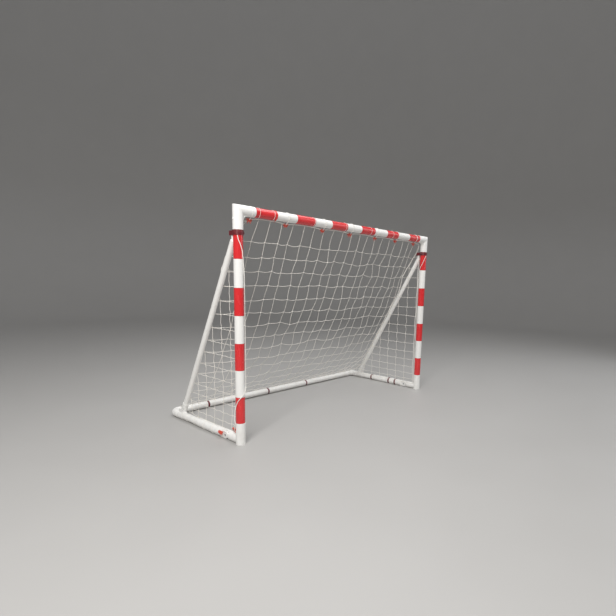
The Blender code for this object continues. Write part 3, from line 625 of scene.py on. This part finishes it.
def side_net(side, name):
    """Rows, uprights and knots of one side."""
    parts = gather(
        sweep(side_levels(side), NET_CORD_R, NET_SIDES, reference=(0, 0.1, 1)),
        sweep(side_uprights(side), NET_CORD_R, NET_SIDES, reference=(1, 0, 0)),
        knots(side_crossings(side), KNOT_R),
    )
    return add_piece(name, *parts, "front_frame", "net_cord")


for side, word in SIDES:
    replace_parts(side_net(side, f"net_mesh_{word}"), f"net_{word}")

# %% [markdown]
# ## Ropes round the edge of the net
#
# A rope runs along the head of the net and down both seams, and a thinner one down the
# front edges behind the posts. A slight wave keeps the last two from looking ruled.

# %% Edge ropes
ROPE_SIDES = 8
CORD_SIDES = 7
FRONT_ROPE_R = ROPE_R * 0.8
FRONT_ROPE_TOP = 0.085  # v at which the front edges start, under the clamps
SEAM_WAVE_Y, SEAM_WAVE_Z, FRONT_WAVE = 0.004, 0.003, 0.003


def head_rope():
    """The rope along the head line, from corner to corner."""
    x = np.linspace(-NET_X, NET_X, 337)[None, :]
    return sweep(np.stack([x, *head_line(x)], -1), ROPE_R, ROPE_SIDES, reference=(0, 0.3, 1))


def seam_rope(side):
    """The seam with waves that fade at its ends, and denser points near the head."""
    t = np.linspace(0, 1, 141)[None, :]
    out, y, z = seam(t**1.5)
    wave = np.sin(np.pi * t)
    y = y + SEAM_WAVE_Y * np.abs(np.sin(2 * np.pi * 9 * t)) * wave
    z = z + SEAM_WAVE_Z * np.sin(2 * np.pi * 11 * t) * wave
    return sweep(np.stack([side * out, y, z], -1), ROPE_R, ROPE_SIDES, reference=(1, 0, 0))


def front_rope(side):
    """The front edge of a side net, with six waves to and fro."""
    v = np.linspace(FRONT_ROPE_TOP, 1, 121)[None, :]
    path = side_surface(side, 0 * v, v)
    path[..., 1] += FRONT_WAVE * np.sin(2 * np.pi * 6 * v)
    return sweep(path, FRONT_ROPE_R, CORD_SIDES, reference=(1, 0, 0))


print("ropes", 2 * ROPE_R, "m thick, and", round(2 * FRONT_ROPE_R, 4), "at the front edges")

# %% [markdown]
# ## Lacing on the posts
#
# Another rope is laced round each post. It slants across the tube under the clamp, and
# then runs down the inner side of the left post and behind the right one. On the left
# it crosses the front again above the foot and hangs slack on the outer side. A few
# turns and distances by height, smoothed, give its path.

# %% Post lacing
LACING_R = ROPE_R * 0.85
LACING_POINTS = 700
SMOOTHING = 13  # how many points each one is averaged over
ON_TAPE = 0.0378  # from the post's axis to the middle of a rope that lies on the tape
# Height, turn about the post from straight outwards in degrees, and distance from its axis
LACING = {
    -1: [
        (1.529, -47, ON_TAPE), (1.522, -50, ON_TAPE), (1.496, -58, ON_TAPE),
        (1.476, -74, ON_TAPE), (1.444, -90, ON_TAPE), (1.424, -101, ON_TAPE),
        (1.376, -111, ON_TAPE), (1.314, -124, ON_TAPE), (1.200, -155, 0.0410),
        (0.450, -155, 0.0420), (0.400, -110, ON_TAPE), (0.366, -60, ON_TAPE),
        (0.342, -29, ON_TAPE), (0.300, 0, 0.0390), (0.262, 1, 0.0490),
        (0.226, 8, 0.0500), (0.200, 3, 0.0500), (0.170, -6, 0.0490),
        (0.130, 8, 0.0490), (0.100, 40, 0.0460), (0.078, 72, 0.0430),
    ],
    1: [
        (1.529, -98, ON_TAPE), (1.492, -126, ON_TAPE), (1.432, -164, ON_TAPE),
        (1.372, -215, ON_TAPE), (1.330, -242, 0.0400), (1.200, -250, 0.0430),
        (0.300, -250, 0.0430), (0.078, -262, 0.0430),
    ],
}


def smoothed(values):
    """Each value as the weighted mean of its neighbours, weighted by a raised cosine."""
    weights = np.hanning(SMOOTHING) / np.hanning(SMOOTHING).sum()
    return np.convolve(np.pad(values, SMOOTHING // 2, mode="edge"), weights, mode="valid")


def post_lacing(side):
    """A rope down the post: x = post + away * cos(turn), y = post + away * sin(turn)."""
    rising = np.array(LACING[side])[::-1]
    z = np.linspace(rising[-1, 0], rising[0, 0], LACING_POINTS)
    turn, away = (smoothed(np.interp(z, rising[:, 0], rising[:, k])) for k in (1, 2))
    turn = np.radians(turn)
    path = np.stack([side * (POST_X + away * np.cos(turn)), FRONT + away * np.sin(turn), z], -1)
    return sweep(path[None], LACING_R, CORD_SIDES, reference=(0.3, 0.2, 1))


print("places given on the left and right post:", len(LACING[-1]), len(LACING[1]))

# %% Ropes on the frame


def add_rope(name, parts):
    """A rope of the net as a piece. Its texture places already hold its length."""
    add_piece(name, *parts, "front_frame", "net_cord")
    print(name, round(float(parts[2][0][..., 0].max()), 2), "m long")


add_rope("net_rope_head", head_rope())
for side, word in SIDES:
    add_rope(f"net_rope_seam_{word}", seam_rope(side))
    add_rope(f"net_rope_front_{word}", front_rope(side))
    add_rope(f"post_lacing_{word}", post_lacing(side))

# %% [markdown]
# ## Loops on the crossbar
#
# A white cord goes twice round the bar and the head rope at each tie. A tight loop
# follows the outline of two circles, the bar and the rope beside it: an arc on each,
# with a straight stretch between them that touches both.

# %% Loop helper
LOOP_R = 0.0016
LOOP_STEP = 2.3  # from one turn of a loop to the next, in radii of its cord
SNUG = 0.0003  # air between a cord or strap and what it goes round
BAR_POINTS, ROPE_POINTS = 26, 8


def band_outline(bar_r, toward, distance, tip_r, turns, pitch):
    """Points of a tight loop round a bar and a rope beside it, and their drift along the bar.

    The loop leaves both circles at the angle whose cosine is the difference of the radii
    divided by the distance.
    """
    spread = math.acos((bar_r - tip_r) / distance)
    arc = np.linspace(toward + spread, toward + 2 * np.pi - spread, BAR_POINTS)
    tip = np.linspace(toward - spread, toward + spread, ROPE_POINTS)
    on_bar = bar_r * np.stack([np.cos(arc), np.sin(arc)], -1)
    on_rope = tip_r * np.stack([np.cos(tip), np.sin(tip)], -1)
    on_rope += distance * np.array([math.cos(toward), math.sin(toward)])
    loop = np.tile(np.concatenate([on_bar, on_rope]), (turns, 1))
    return np.linspace(-0.5, 0.5, len(loop)) * pitch * turns, loop


def crossbar_loop(x, turns, radius, closed=False):
    """A loop round the crossbar and the head rope at a place along the bar."""
    y, z = head_line(np.array(x))
    across, up = float(y) - FRONT, float(z) - CROSSBAR_Z
    toward, distance = math.atan2(up, across), math.hypot(across, up)
    fit = radius + SNUG
    pitch = 0.0 if closed else LOOP_STEP * radius
    drift, loop = band_outline(TAPED_R + fit, toward, distance, ROPE_R + fit, turns, pitch)
    path = np.stack([x + drift, FRONT + loop[:, 0], CROSSBAR_Z + loop[:, 1]], -1)
    return sweep(path[None], radius, CORD_SIDES, (1, 0, 0), closed)


print("a loop has", len(crossbar_loop(TIE_X[0], 2, LOOP_R)[0]), "points")

# %% [markdown]
# ## A bow
#
# Under each loop an orange-red cord is wound five times on the rope and tied in a
# small bow: a knot, two loops and two ends. Chance makes the loops and ends of each bow
# a little longer or shorter, so no two are alike.

# %% Bow helper
BOW_R = 0.0024
BOW_TURNS = np.array([-0.0190, -0.0100, 0.0, 0.0096, 0.0210])  # along the rope
BOW_KNOT = np.array([0.0, 0.0, -0.0065])
BOW_KNOT_R = 0.0076
BOW_REACH = 0.021  # how far a loop of the bow reaches out
BOW_OPEN_Y, BOW_OPEN_Z = 0.006, 0.008  # how far its two halves part
BOW_LEAN_Y, BOW_LEAN_Z = 0.004, -0.002  # how far its tip leans
END_OUT, END_SIDE, END_DOWN = 0.55, 0.2, 0.8  # where an end goes, in parts of its length
BOW_SIZES = (0.75, 1.15)
END_LENGTHS = (0.018, 0.030)


def bow_turns():
    """Five rings round a rope along X."""
    turn = full_turn(18)
    ring = ROPE_R + BOW_R + SNUG
    rings = np.broadcast_arrays(BOW_TURNS[:, None], ring * np.cos(turn), ring * np.sin(turn))
    return np.stack(rings, -1)


def bow_loops(way, size, t):
    """Out by sin(pi t) and back, while the two halves part by sin(2 pi t)."""
    out, part = np.sin(np.pi * t), np.sin(2 * np.pi * t)
    y = BOW_OPEN_Y * part + BOW_LEAN_Y * size * out
    z = BOW_OPEN_Z * part + BOW_LEAN_Z * size * out
    return BOW_KNOT + np.stack([way * BOW_REACH * size * out, y, z], -1)


def bow_ends(way, length, t):
    """Out in step with t, to the side by sin(pi t), and down by t to the power of 1.3."""
    out = way * END_OUT * length * t
    side = END_SIDE * length * np.sin(np.pi * t)
    return BOW_KNOT + np.stack([out, side, -END_DOWN * length * t**1.3], -1)


def bow(place, along=0):
    """A bow on a rope that passes a place, along X, or along Y if along is 1."""
    t = np.linspace(0, 1, 17)
    way = np.array([[-1.0], [1.0]])
    loops = bow_loops(way, shake.uniform(*BOW_SIZES, (2, 1)), t)
    ends = bow_ends(way, shake.uniform(*END_LENGTHS, (2, 1)), t)
    points, faces, places = gather(
        sweep(bow_turns(), BOW_R, CORD_SIDES, (1, 0, 0), closed=True),
        sweep(loops, BOW_R, CORD_SIDES, reference=(0.1, 1, 0.1)),
        sweep(ends, BOW_R, CORD_SIDES, reference=(0, 1, 0)),
        knots(BOW_KNOT[None], BOW_KNOT_R, sides=12, rings=8),
    )
    if along:
        points = points[:, [1, 0, 2]] * np.array([-1.0, 1.0, 1.0])
    return points + np.asarray(place, float), faces, places


print("five turns take", round(BOW_TURNS[-1] - BOW_TURNS[0] + 2 * BOW_R, 4), "m of the rope")

# %% [markdown]
# ## Tying the net to the crossbar
#
# The seven loops stand in for the packed model's plain ties, with a bow under each. A
# few single turns of white cord hold the rope against the bar between the ties, and
# one red turn shows beside the second of them.

# %% Loops and bows on the crossbar
TURN_R, RED_TURN_R = 0.0012, 0.0015
TURN_X = (-1.065, -0.93, -0.51, -0.12, 0.24, 0.60)
RED_TURN_X = -0.906
for number, x in enumerate(TIE_X, 1):
    loop_parts = crossbar_loop(x, 2, LOOP_R)
    loop = add_piece(f"crossbar_loop_{number}", *loop_parts, "front_frame", "tie_cord")
    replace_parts(loop, f"crossbar_tie_{number}")
    y, z = head_line(np.array(x))
    add_piece(f"crossbar_bow_{number}", *bow((x, y, z)), "front_frame", "tie_cord")

white_turns = gather(*[crossbar_loop(x, 1, TURN_R, closed=True) for x in TURN_X])
add_piece("crossbar_turns", *white_turns, "front_frame", "tie_cord")
red_turn = crossbar_loop(RED_TURN_X, 1, RED_TURN_R, closed=True)
add_piece("crossbar_red_turn", *red_turn, "front_frame", "tie_cord")

# %% [markdown]
# ## Clips on the rails
#
# Dark red clips hold the net's hem on the rails. Each one is a strap, open below, that
# grips three quarters of the tube. It is a swept circle drawn out along the rail, which
# gives it a flat, round-edged section.

# %% Clips
CLIP_R = 0.0012  # half the strap's thickness
CLIP_SIDES = 10
CLIP_STRETCH = 8  # width of the strap divided by its thickness
STRAP_TURN = np.radians(np.linspace(-48, 228, 40))
REAR_CLIPS_X = (-0.895, -0.175, 0.385)
SIDE_CLIPS_BACK = (0.295, 0.387, 0.655)  # behind the post's axis, two of them on the sleeve


def clips(axis, centres, grip_r):
    """Straps at centres on a rail along X (axis 0) or Y (axis 1)."""
    reach = np.asarray(grip_r)[:, None] + CLIP_R + SNUG
    path = np.zeros((len(centres), len(STRAP_TURN), 3))
    path[..., 1 - axis] = reach * np.cos(STRAP_TURN)
    path[..., 2] = reach * np.sin(STRAP_TURN)
    points, faces, places = sweep(path, CLIP_R, CLIP_SIDES, np.eye(3)[axis])
    points = points.reshape(len(centres), -1, 3)
    points[..., axis] *= CLIP_STRETCH
    points = (points + np.asarray(centres, float)[:, None]).reshape(-1, 3)
    return points, faces, places


rear_marks = [(x, REAR, RAIL_Z) for x in REAR_CLIPS_X]
rear_clips = clips(0, rear_marks, [RAIL_R] * 3)
add_piece("rear_rail_clips", *rear_clips, "base_frame", "dark_clamp")
side_marks = [(POST_X, FRONT + back, RAIL_Z) for back in SIDE_CLIPS_BACK]
side_clips = clips(1, side_marks, [SLEEVE_R, SLEEVE_R, RAIL_R])
add_piece("right_rail_clips", *side_clips, "base_frame", "dark_clamp")

# %% [markdown]
# ## Rings of cord and the lower bows
#
# Between the clips, rings of white cord hold the hem. A rail lies near the floor, so the
# lowest points of a ring are lifted until the cord clears it. A small bow closes each
# post's lacing near the foot, and one more sits on the left side rail.

# %% Rings and bows on the rails
FLOOR_GAP = 0.0002
REAR_TURNS_X = (-1.03, -0.66, -0.42, 0.06, 0.62, 0.86, 1.06)
SIDE_TURNS_BACK = (0.210, 0.345, 0.47, 0.62, 0.74)  # behind the posts' axes
SIDE_TURN_GRIPS = [SLEEVE_R] * 3 + [RAIL_R] * 2
FOOT_BOW_OUT, FOOT_BOW_BACK, FOOT_BOW_Z = 0.030, 0.030, 0.118
RAIL_BOW_OUT, RAIL_BOW_BACK, RAIL_BOW_UP = 0.037, 0.210, 0.018


def rail_turns(axis, centres, grip_r):
    """Rings of cord at centres on a rail along X (axis 0) or Y (axis 1)."""
    turn = full_turn(32)
    reach = np.asarray(grip_r, float)[:, None] + LOOP_R + SNUG
    path = np.zeros((len(centres), len(turn), 3))
    path[..., 1 - axis] = reach * np.cos(turn)
    path[..., 2] = reach * np.sin(turn)
    path = path + np.asarray(centres, float)[:, None]
    path[..., 2] = np.maximum(path[..., 2], LOOP_R + FLOOR_GAP)
    return sweep(path, LOOP_R, CORD_SIDES, np.eye(3)[axis], closed=True)


rear_turns = rail_turns(0, [(x, REAR, RAIL_Z) for x in REAR_TURNS_X], [RAIL_R] * 7)
add_piece("rear_rail_turns", *rear_turns, "base_frame", "net_cord")
for side, word in SIDES:
    marks = [(side * POST_X, FRONT + back, RAIL_Z) for back in SIDE_TURNS_BACK]
    side_turns = rail_turns(1, marks, SIDE_TURN_GRIPS)
    add_piece(f"{word}_rail_turns", *side_turns, "base_frame", "net_cord")
    foot_bow = bow((side * (POST_X + FOOT_BOW_OUT), FRONT + FOOT_BOW_BACK, FOOT_BOW_Z), 1)
    add_piece(f"{word}_foot_bow", *foot_bow, "front_frame", "tie_cord")
rail_bow = bow((-POST_X - RAIL_BOW_OUT, FRONT + RAIL_BOW_BACK, RAIL_Z + RAIL_BOW_UP), 1)
add_piece("left_rail_bow", *rail_bow, "base_frame", "tie_cord")

# %% [markdown]
# ## The net's own meshes
#
# The base turns up behind the posts and the net crumples between them. Each of the
# net's pieces gets a copy of its mesh.

# %% Copy the net's meshes
folding = [o for o in bpy.data.objects if o.name.startswith(("net_mesh_", "net_rope_"))]
for obj in folding:
    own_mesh(obj)
print(len(folding), "pieces flatten with the base")

# %% [markdown]
# ## Shader maths as expressions
#
# A material is a graph of nodes. Wrapping a socket in a small class lets Python's own
# operators add the maths nodes, so a mask reads like the formula it is.

# %% Shader class


class Value:
    """A socket of a material, with arithmetic. One without a socket only starts a graph."""

    def __init__(self, tree, socket):
        self.tree = tree
        self.socket = socket

    def node(self, kind, settings=None, out=0, **inputs):
        """Any node: its type, its settings, and what its sockets get.

        A socket is called by its name, or by n and its number. It gets a value or a link.
        """
        made = self.tree.nodes.new(kind)
        for key, value in (settings or {}).items():
            setattr(made, key, value)
        for key, value in inputs.items():
            numbered = key[0] == "n" and key[1:].isdigit()
            socket = made.inputs[int(key[1:]) if numbered else key.replace("_", " ")]
            if isinstance(value, Value):
                self.tree.links.new(value.socket, socket)
            else:
                socket.default_value = value
        return Value(self.tree, made.outputs[out])

    def maths(self, operation, *others):
        inputs = {f"n{k}": other for k, other in enumerate((self, *others))}
        return self.node("ShaderNodeMath", {"operation": operation}, **inputs)

    def __add__(self, other):
        return self.maths("ADD", other)

    def __mul__(self, other):
        return self.maths("MULTIPLY", other)

    def __sub__(self, other):
        return self.maths("SUBTRACT", other)

    def __rsub__(self, other):
        return (self * -1.0) + other

    __radd__ = __add__
    __rmul__ = __mul__

    def between(self, low, high):
        """0 below low, 1 above high, and smooth between them."""
        smooth = {"interpolation_type": "SMOOTHSTEP"}
        return self.node("ShaderNodeMapRange", smooth, n0=self, n1=low, n2=high)

    def mix(self, first, second):
        """A colour between two others, by this value. Sockets 6 and 7 hold the colours."""
        ends = {"n6": (*first, 1.0), "n7": (*second, 1.0)}
        return self.node("ShaderNodeMix", {"data_type": "RGBA"}, out=2, n0=self, **ends)


print("operators:", [name for name in vars(Value) if name.startswith("__r")])

# %% [markdown]
# ## What every finish needs
#
# A finish starts from a place on the piece, adds noise of a fitting size, and feeds the
# colour, the roughness and the bump. These helpers name those steps.

# %% Shader helpers


def new_material(name):
    """A material's shader node, a Value to start expressions from, and the material."""
    material = bpy.data.materials.new(name)
    material.use_nodes = True
    tree = material.node_tree
    return tree.nodes["Principled BSDF"], Value(tree, None), material


def place_of(start, kind="Object"):
    """The Object or UV coordinates of a piece."""
    return start.node("ShaderNodeTexCoord", out={"Object": 3, "UV": 2}[kind])


def noise(place, scale, detail=2.0, roughness=0.5, stretch=(1, 1, 1)):
    """Noise over a place, squeezed or drawn out along the axes."""
    spot = place.node("ShaderNodeMapping", Vector=place, Scale=stretch)
    kind = "ShaderNodeTexNoise"
    return place.node(kind, Vector=spot, Scale=scale, Detail=detail, Roughness=roughness)


def coordinate(place, number):
    """One coordinate of a place."""
    return place.node("ShaderNodeSeparateXYZ", out=number, Vector=place)


def plug(shader, name, value):
    """Feed a socket of the shader, or set it."""
    if isinstance(value, Value):
        value.tree.links.new(value.socket, shader.inputs[name])
    else:
        shader.inputs[name].default_value = value


def bump(height, strength, distance):
    """A normal that follows a height. strength scales it, distance is its depth in metres."""
    return height.node("ShaderNodeBump", Height=height, Strength=strength, Distance=distance)


def describe(*materials):
    """Print how many nodes each finish has."""
    for material in materials:
        print(material.name, len(material.node_tree.nodes), "nodes")


# %% [markdown]
# ## White plastic
#
# The tubes are glossy white plastic, a little cloudy in tone, with fine scuffs, and greyer
# in noisy patches near the floor. The corners, knuckles and saddles are moulded: duller,
# with a finer grain and stronger grey patches. One function makes both.

# %% White plastic
FLOOR_BAND_HEIGHT = 0.20


def white_plastic(name, colour, darker_colour, gloss, grain, near_floor_darkening):
    """Plastic with cloudy tone, scuffs in the gloss, a fine grain and grey patches near the floor.
    """
    shader, start, material = new_material(name)
    place = place_of(start)
    cloud = noise(place, scale=5.0, detail=3.0)
    scratch = noise(place, scale=60.0, detail=4.0, roughness=0.65, stretch=(1.0, 1.0, 0.35))
    scuff = scratch.between(0.56, 0.74)
    near_floor = 1 - coordinate(place, 2).between(0.0, FLOOR_BAND_HEIGHT)
    # Darker and greyer in noisy patches near the floor, fading out by 0.2 m above it.
    near_floor_patches = near_floor * noise(place, scale=30.0, detail=3.0).between(0.35, 0.75) * near_floor_darkening
    mask = cloud.between(0.50, 0.85) * 0.30 + scuff * 0.18 + near_floor_patches
    plug(shader, "Base Color", mask.mix(colour, darker_colour))
    plug(shader, "Roughness", cloud * 0.10 + scuff * 0.22 + gloss)
    plug(shader, "Normal", bump(noise(place, scale=grain), strength=0.12, distance=0.0006))
    plug(shader, "Specular IOR Level", 0.5)
    return material


WHITE_TUBE = white_plastic(
    "white_tube_plastic",
    colour=(0.87, 0.865, 0.84), darker_colour=(0.68, 0.66, 0.62), gloss=0.24, grain=260.0, near_floor_darkening=0.30,
)
WHITE_FITTING = white_plastic(
    "white_moulded_plastic",
    colour=(0.88, 0.875, 0.855), darker_colour=(0.66, 0.64, 0.60), gloss=0.33, grain=700.0, near_floor_darkening=0.40,
)
describe(WHITE_TUBE, WHITE_FITTING)

# %% [markdown]
# ## Red tape
#
# The stripes are glossy tape. It wrinkles slightly, its gloss breaks up, and its edges
# are a shade darker where dust sticks to the glue. The distance to an edge comes from
# the place along the tube, counted in stripes.

# %% Red tape
STRIPE = 0.2
POST_STRIPES_START = 1.568  # the height of the first edge, counted downwards
CROSSBAR_STRIPES_START = -1.1
TAPE_COLOUR = (0.690, 0.030, 0.034)
TAPE_EDGE_COLOUR = (0.40, 0.016, 0.022)


def red_tape(name, number, first, sign):
    """Tape on a tube along one axis: where its stripes start, and which way they go on."""
    shader, start, material = new_material(name)
    place = place_of(start)
    part = ((coordinate(place, number) - first) * (sign / STRIPE)).maths("FRACT")
    rim = (part - 0.5).maths("ABSOLUTE").between(0.475, 0.499)
    stretch = (0.25, 1.0, 1.0) if number == 0 else (1.0, 1.0, 0.25)
    wrinkle = noise(place, scale=42.0, detail=3.0, roughness=0.6, stretch=stretch)
    blotch = noise(place, scale=7.0)
    shade = rim * 0.75 + blotch.between(0.45, 0.85) * 0.30
    plug(shader, "Base Color", shade.mix(TAPE_COLOUR, TAPE_EDGE_COLOUR))
    plug(shader, "Roughness", wrinkle.between(0.35, 0.75) * 0.20 + 0.17)
    plug(shader, "Normal", bump(wrinkle, strength=0.22, distance=0.0012))
    plug(shader, "Coat Weight", 0.25)
    plug(shader, "Coat Roughness", 0.12)
    return material


POST_TAPE = red_tape("red_tape_post", number=2, first=POST_STRIPES_START, sign=-1.0)
CROSSBAR_TAPE = red_tape("red_tape_crossbar", number=0, first=CROSSBAR_STRIPES_START, sign=1.0)
describe(POST_TAPE, CROSSBAR_TAPE)

# %% [markdown]
# ## Clamp and steel
#
# The clamps and clips are dark maroon plastic with a fine grain. The pins, bolts and
# springs are steel with brushed lines and a slightly uneven grey.

# %% Clamp and steel


def clamp_plastic():
    """Dark red plastic, paler where it is worn."""
    shader, start, material = new_material("maroon_clamp_plastic")
    place = place_of(start)
    grain = noise(place, scale=900.0)
    worn = noise(place, scale=40.0, detail=3.0).between(0.50, 0.80)
    plug(shader, "Base Color", worn.mix((0.135, 0.014, 0.020), (0.220, 0.045, 0.050)))
    plug(shader, "Roughness", grain * 0.15 + 0.34)
    plug(shader, "Normal", bump(grain, strength=0.25, distance=0.0004))
    return material


def brushed_steel():
    """Grey metal with fine lines along X."""
    shader, start, material = new_material("zinc_steel")
    place = place_of(start)
    lines = noise(place, scale=300.0, stretch=(0.05, 1.0, 1.0))
    tone = noise(place, scale=90.0)
    plug(shader, "Base Color", tone.mix((0.62, 0.62, 0.63), (0.42, 0.42, 0.43)))
    plug(shader, "Metallic", 1.0)
    plug(shader, "Roughness", lines * 0.20 + 0.24)
    plug(shader, "Normal", bump(lines, strength=0.10, distance=0.0003))
    return material


CLAMP = clamp_plastic()
STEEL = brushed_steel()
describe(CLAMP, STEEL)

# %% [markdown]
# ## Cord
#
# Net, rope and ties are twisted yarn. The cord's own coordinates give the place along
# it, in metres, and the place round it, from 0 to 1. Adding the two makes a wave that
# winds round the cord: bright on each yarn, and darker in the groove between two as painted shade.

# %% Cord


def cord(name, yarn, groove_shade_and_tone, pitch, ply, fuzz):
    """Yarns that wind once round the cord in each pitch, ply of them side by side.

    ridge = sine of 2 pi * ply * (place along / pitch + place round), moved to 0 to 1.
    """
    shader, start, material = new_material(name)
    place = place_of(start, "UV")
    along, around = coordinate(place, 0), coordinate(place, 1)
    phase = along * (2 * math.pi * ply / pitch) + around * (2 * math.pi * ply)
    ridge = phase.maths("SINE") * 0.5 + 0.5
    tone = noise(place_of(start), scale=25.0, detail=3.0)
    # Painted shade: the colour darkens into the groove between two yarns, and random tone adds to
    # it.
    shade = (1 - ridge) * 0.60 + tone.between(0.40, 0.80) * 0.25
    plug(shader, "Base Color", shade.mix(yarn, groove_shade_and_tone))
    plug(shader, "Roughness", tone * 0.15 + fuzz)
    plug(shader, "Normal", bump(ridge, strength=0.6, distance=0.0008))
    return material


NET_CORD = cord(
    "ivory_net_cord",
    yarn=(0.94, 0.91, 0.85), groove_shade_and_tone=(0.76, 0.72, 0.64), pitch=0.010, ply=3, fuzz=0.72,
)
EDGE_ROPE = cord(
    "white_edge_rope",
    yarn=(0.95, 0.93, 0.89), groove_shade_and_tone=(0.80, 0.77, 0.71), pitch=0.014, ply=3, fuzz=0.70,
)
TIE_CORD = cord(
    "orange_red_tie_cord",
    yarn=(0.86, 0.110, 0.060), groove_shade_and_tone=(0.56, 0.045, 0.028), pitch=0.009, ply=4, fuzz=0.66,
)
describe(NET_CORD, EDGE_ROPE, TIE_CORD)

# %% [markdown]
# ## Giving each piece its finish
#
# A piece's name tells its finish, for the packed model's nodes and the new pieces alike.
# Only the material slot is filled, and a node's mesh stays as it is.

# %% Assign finishes
FINISHES = [
    ("crossbar_band", CROSSBAR_TAPE),
    ("post_band", POST_TAPE),
    ("clips", CLAMP),
    ("pin", STEEL),
    ("bolt", STEEL),
    ("spring", STEEL),
    ("clamp", CLAMP),
    ("bow", TIE_CORD),
    ("red_turn", TIE_CORD),
    ("tie", TIE_CORD),
    ("loop", EDGE_ROPE),
    ("turns", EDGE_ROPE),
    ("rope", EDGE_ROPE),
    ("lacing", EDGE_ROPE),
    ("net_", NET_CORD),
    ("corner", WHITE_FITTING),
    ("knuckle", WHITE_FITTING),
    ("saddle", WHITE_FITTING),
    ("stanchion_head", WHITE_FITTING),
    ("stanchion_foot", WHITE_FITTING),
]


def finish_for(name):
    """The finish of the first word in the list that a piece's name holds. The rest is tube."""
    return next((finish for word, finish in FINISHES if word in name), WHITE_TUBE)


finished = [obj for obj in bpy.data.objects if obj.type == "MESH"]
for obj in finished:
    obj.data.materials.clear()
    obj.data.materials.append(finish_for(obj.name))
print(len(finished), "pieces have a finish")

# %% [markdown]
# ## The floor
#
# A plain pale floor takes the shadow. All round, far from the goal, it rises into a
# backdrop, so no horizon crosses any view.

# %% Floor
FLOOR_RINGS = [3.0, 8.5, 9.0]  # radii of the level part
BEND_R = 4.0  # radius of the bend from the floor into the backdrop
BACKDROP_TOP = 16.0
FLOOR_SIDES = 96


def round_floor():
    """A disc that curves up all round: a profile of radius and height, turned about Z."""
    bend = np.linspace(0, np.pi / 2, 20)[1:]
    flat_r, level = FLOOR_RINGS[-1], [0.0] * len(FLOOR_RINGS)
    radius = np.concatenate([FLOOR_RINGS, flat_r + BEND_R * np.sin(bend), [flat_r + BEND_R]])
    height = np.concatenate([level, BEND_R - BEND_R * np.cos(bend), [BACKDROP_TOP]])
    sides = FLOOR_SIDES
    turn = full_turn(sides)
    x, y = radius[:, None] * np.cos(turn), radius[:, None] * np.sin(turn)
    rings = np.stack([x, y, height[:, None] + 0 * turn], -1)
    points = np.concatenate([[[0.0, 0.0, 0.0]], rings.reshape(-1, 3)])
    i, j = np.arange(len(radius) - 1)[:, None] * sides, np.arange(sides)[None, :]
    nxt = (j + 1) % sides
    walls = 1 + np.stack([i + j, i + sides + j, i + sides + nxt, i + nxt], -1).reshape(-1, 4)
    centre = np.stack([0 * j[0], 1 + j[0], 1 + nxt[0]], -1)
    mesh = bpy.data.meshes.new("floor")
    mesh.from_pydata(points.tolist(), [], centre.tolist() + walls.tolist())
    mesh.shade_smooth()
    floor = bpy.data.objects.new("floor", mesh)
    bpy.context.scene.collection.objects.link(floor)
    return floor


def floor_finish():
    """A plain matt floor with a faint cloudiness."""
    shader, start, material = new_material("pale_floor")
    cloud = noise(place_of(start), scale=1.5, detail=3.0)
    plug(shader, "Base Color", cloud.mix((0.430, 0.422, 0.410), (0.455, 0.447, 0.435)))
    plug(shader, "Roughness", cloud * 0.10 + 0.45)
    return material


floor = round_floor()
floor.data.materials.append(floor_finish())
print("floor", len(floor.data.polygons), "faces")

# %% [markdown]
# ## Light
#
# A large lamp from the camera's left gives the posts their bright side. A wide one above
# and a weak one from the right soften it, and the world fills the rest.

# %% Lamps and world
WORLD_COLOUR = (0.94, 0.95, 0.97, 1.0)
WORLD_STRENGTH = 0.55


def lamp(name, place, aim, size, power, colour):
    """A square area lamp that faces a point."""
    data = bpy.data.lights.new(name, "AREA")
    data.shape = "SQUARE"
    data.size = size
    data.energy = power
    data.color = colour
    obj = bpy.data.objects.new(name, data)
    back = unit(np.array(place, float) - np.array(aim, float))
    right = unit(np.cross((0, 0, 1.0), back))
    turn = Matrix(np.column_stack([right, np.cross(back, right), back]).tolist()).to_4x4()
    obj.matrix_world = Matrix.Translation(place) @ turn
    bpy.context.scene.collection.objects.link(obj)
    print(name, "lamp,", power, "W")


key_colour, top_colour, side_colour = (1.0, 0.985, 0.965), (1.0, 1.0, 1.0), (0.95, 0.97, 1.0)
lamp("key", (-4.5, -3.0, 4.2), aim=(0, 0, 0.8), size=2.2, power=290, colour=key_colour)
lamp("top", (0.6, -0.6, 5.0), aim=(0, 0, 0.6), size=4.0, power=120, colour=top_colour)
lamp("side", (4.5, -3.5, 2.8), aim=(0, 0, 0.8), size=3.0, power=50, colour=side_colour)

world = bpy.data.worlds.new("studio")
bpy.context.scene.world = world
world.use_nodes = True
world.node_tree.nodes["Background"].inputs["Color"].default_value = WORLD_COLOUR
world.node_tree.nodes["Background"].inputs["Strength"].default_value = WORLD_STRENGTH
bpy.context.scene.view_settings.view_transform = "Standard"

# %% [markdown]
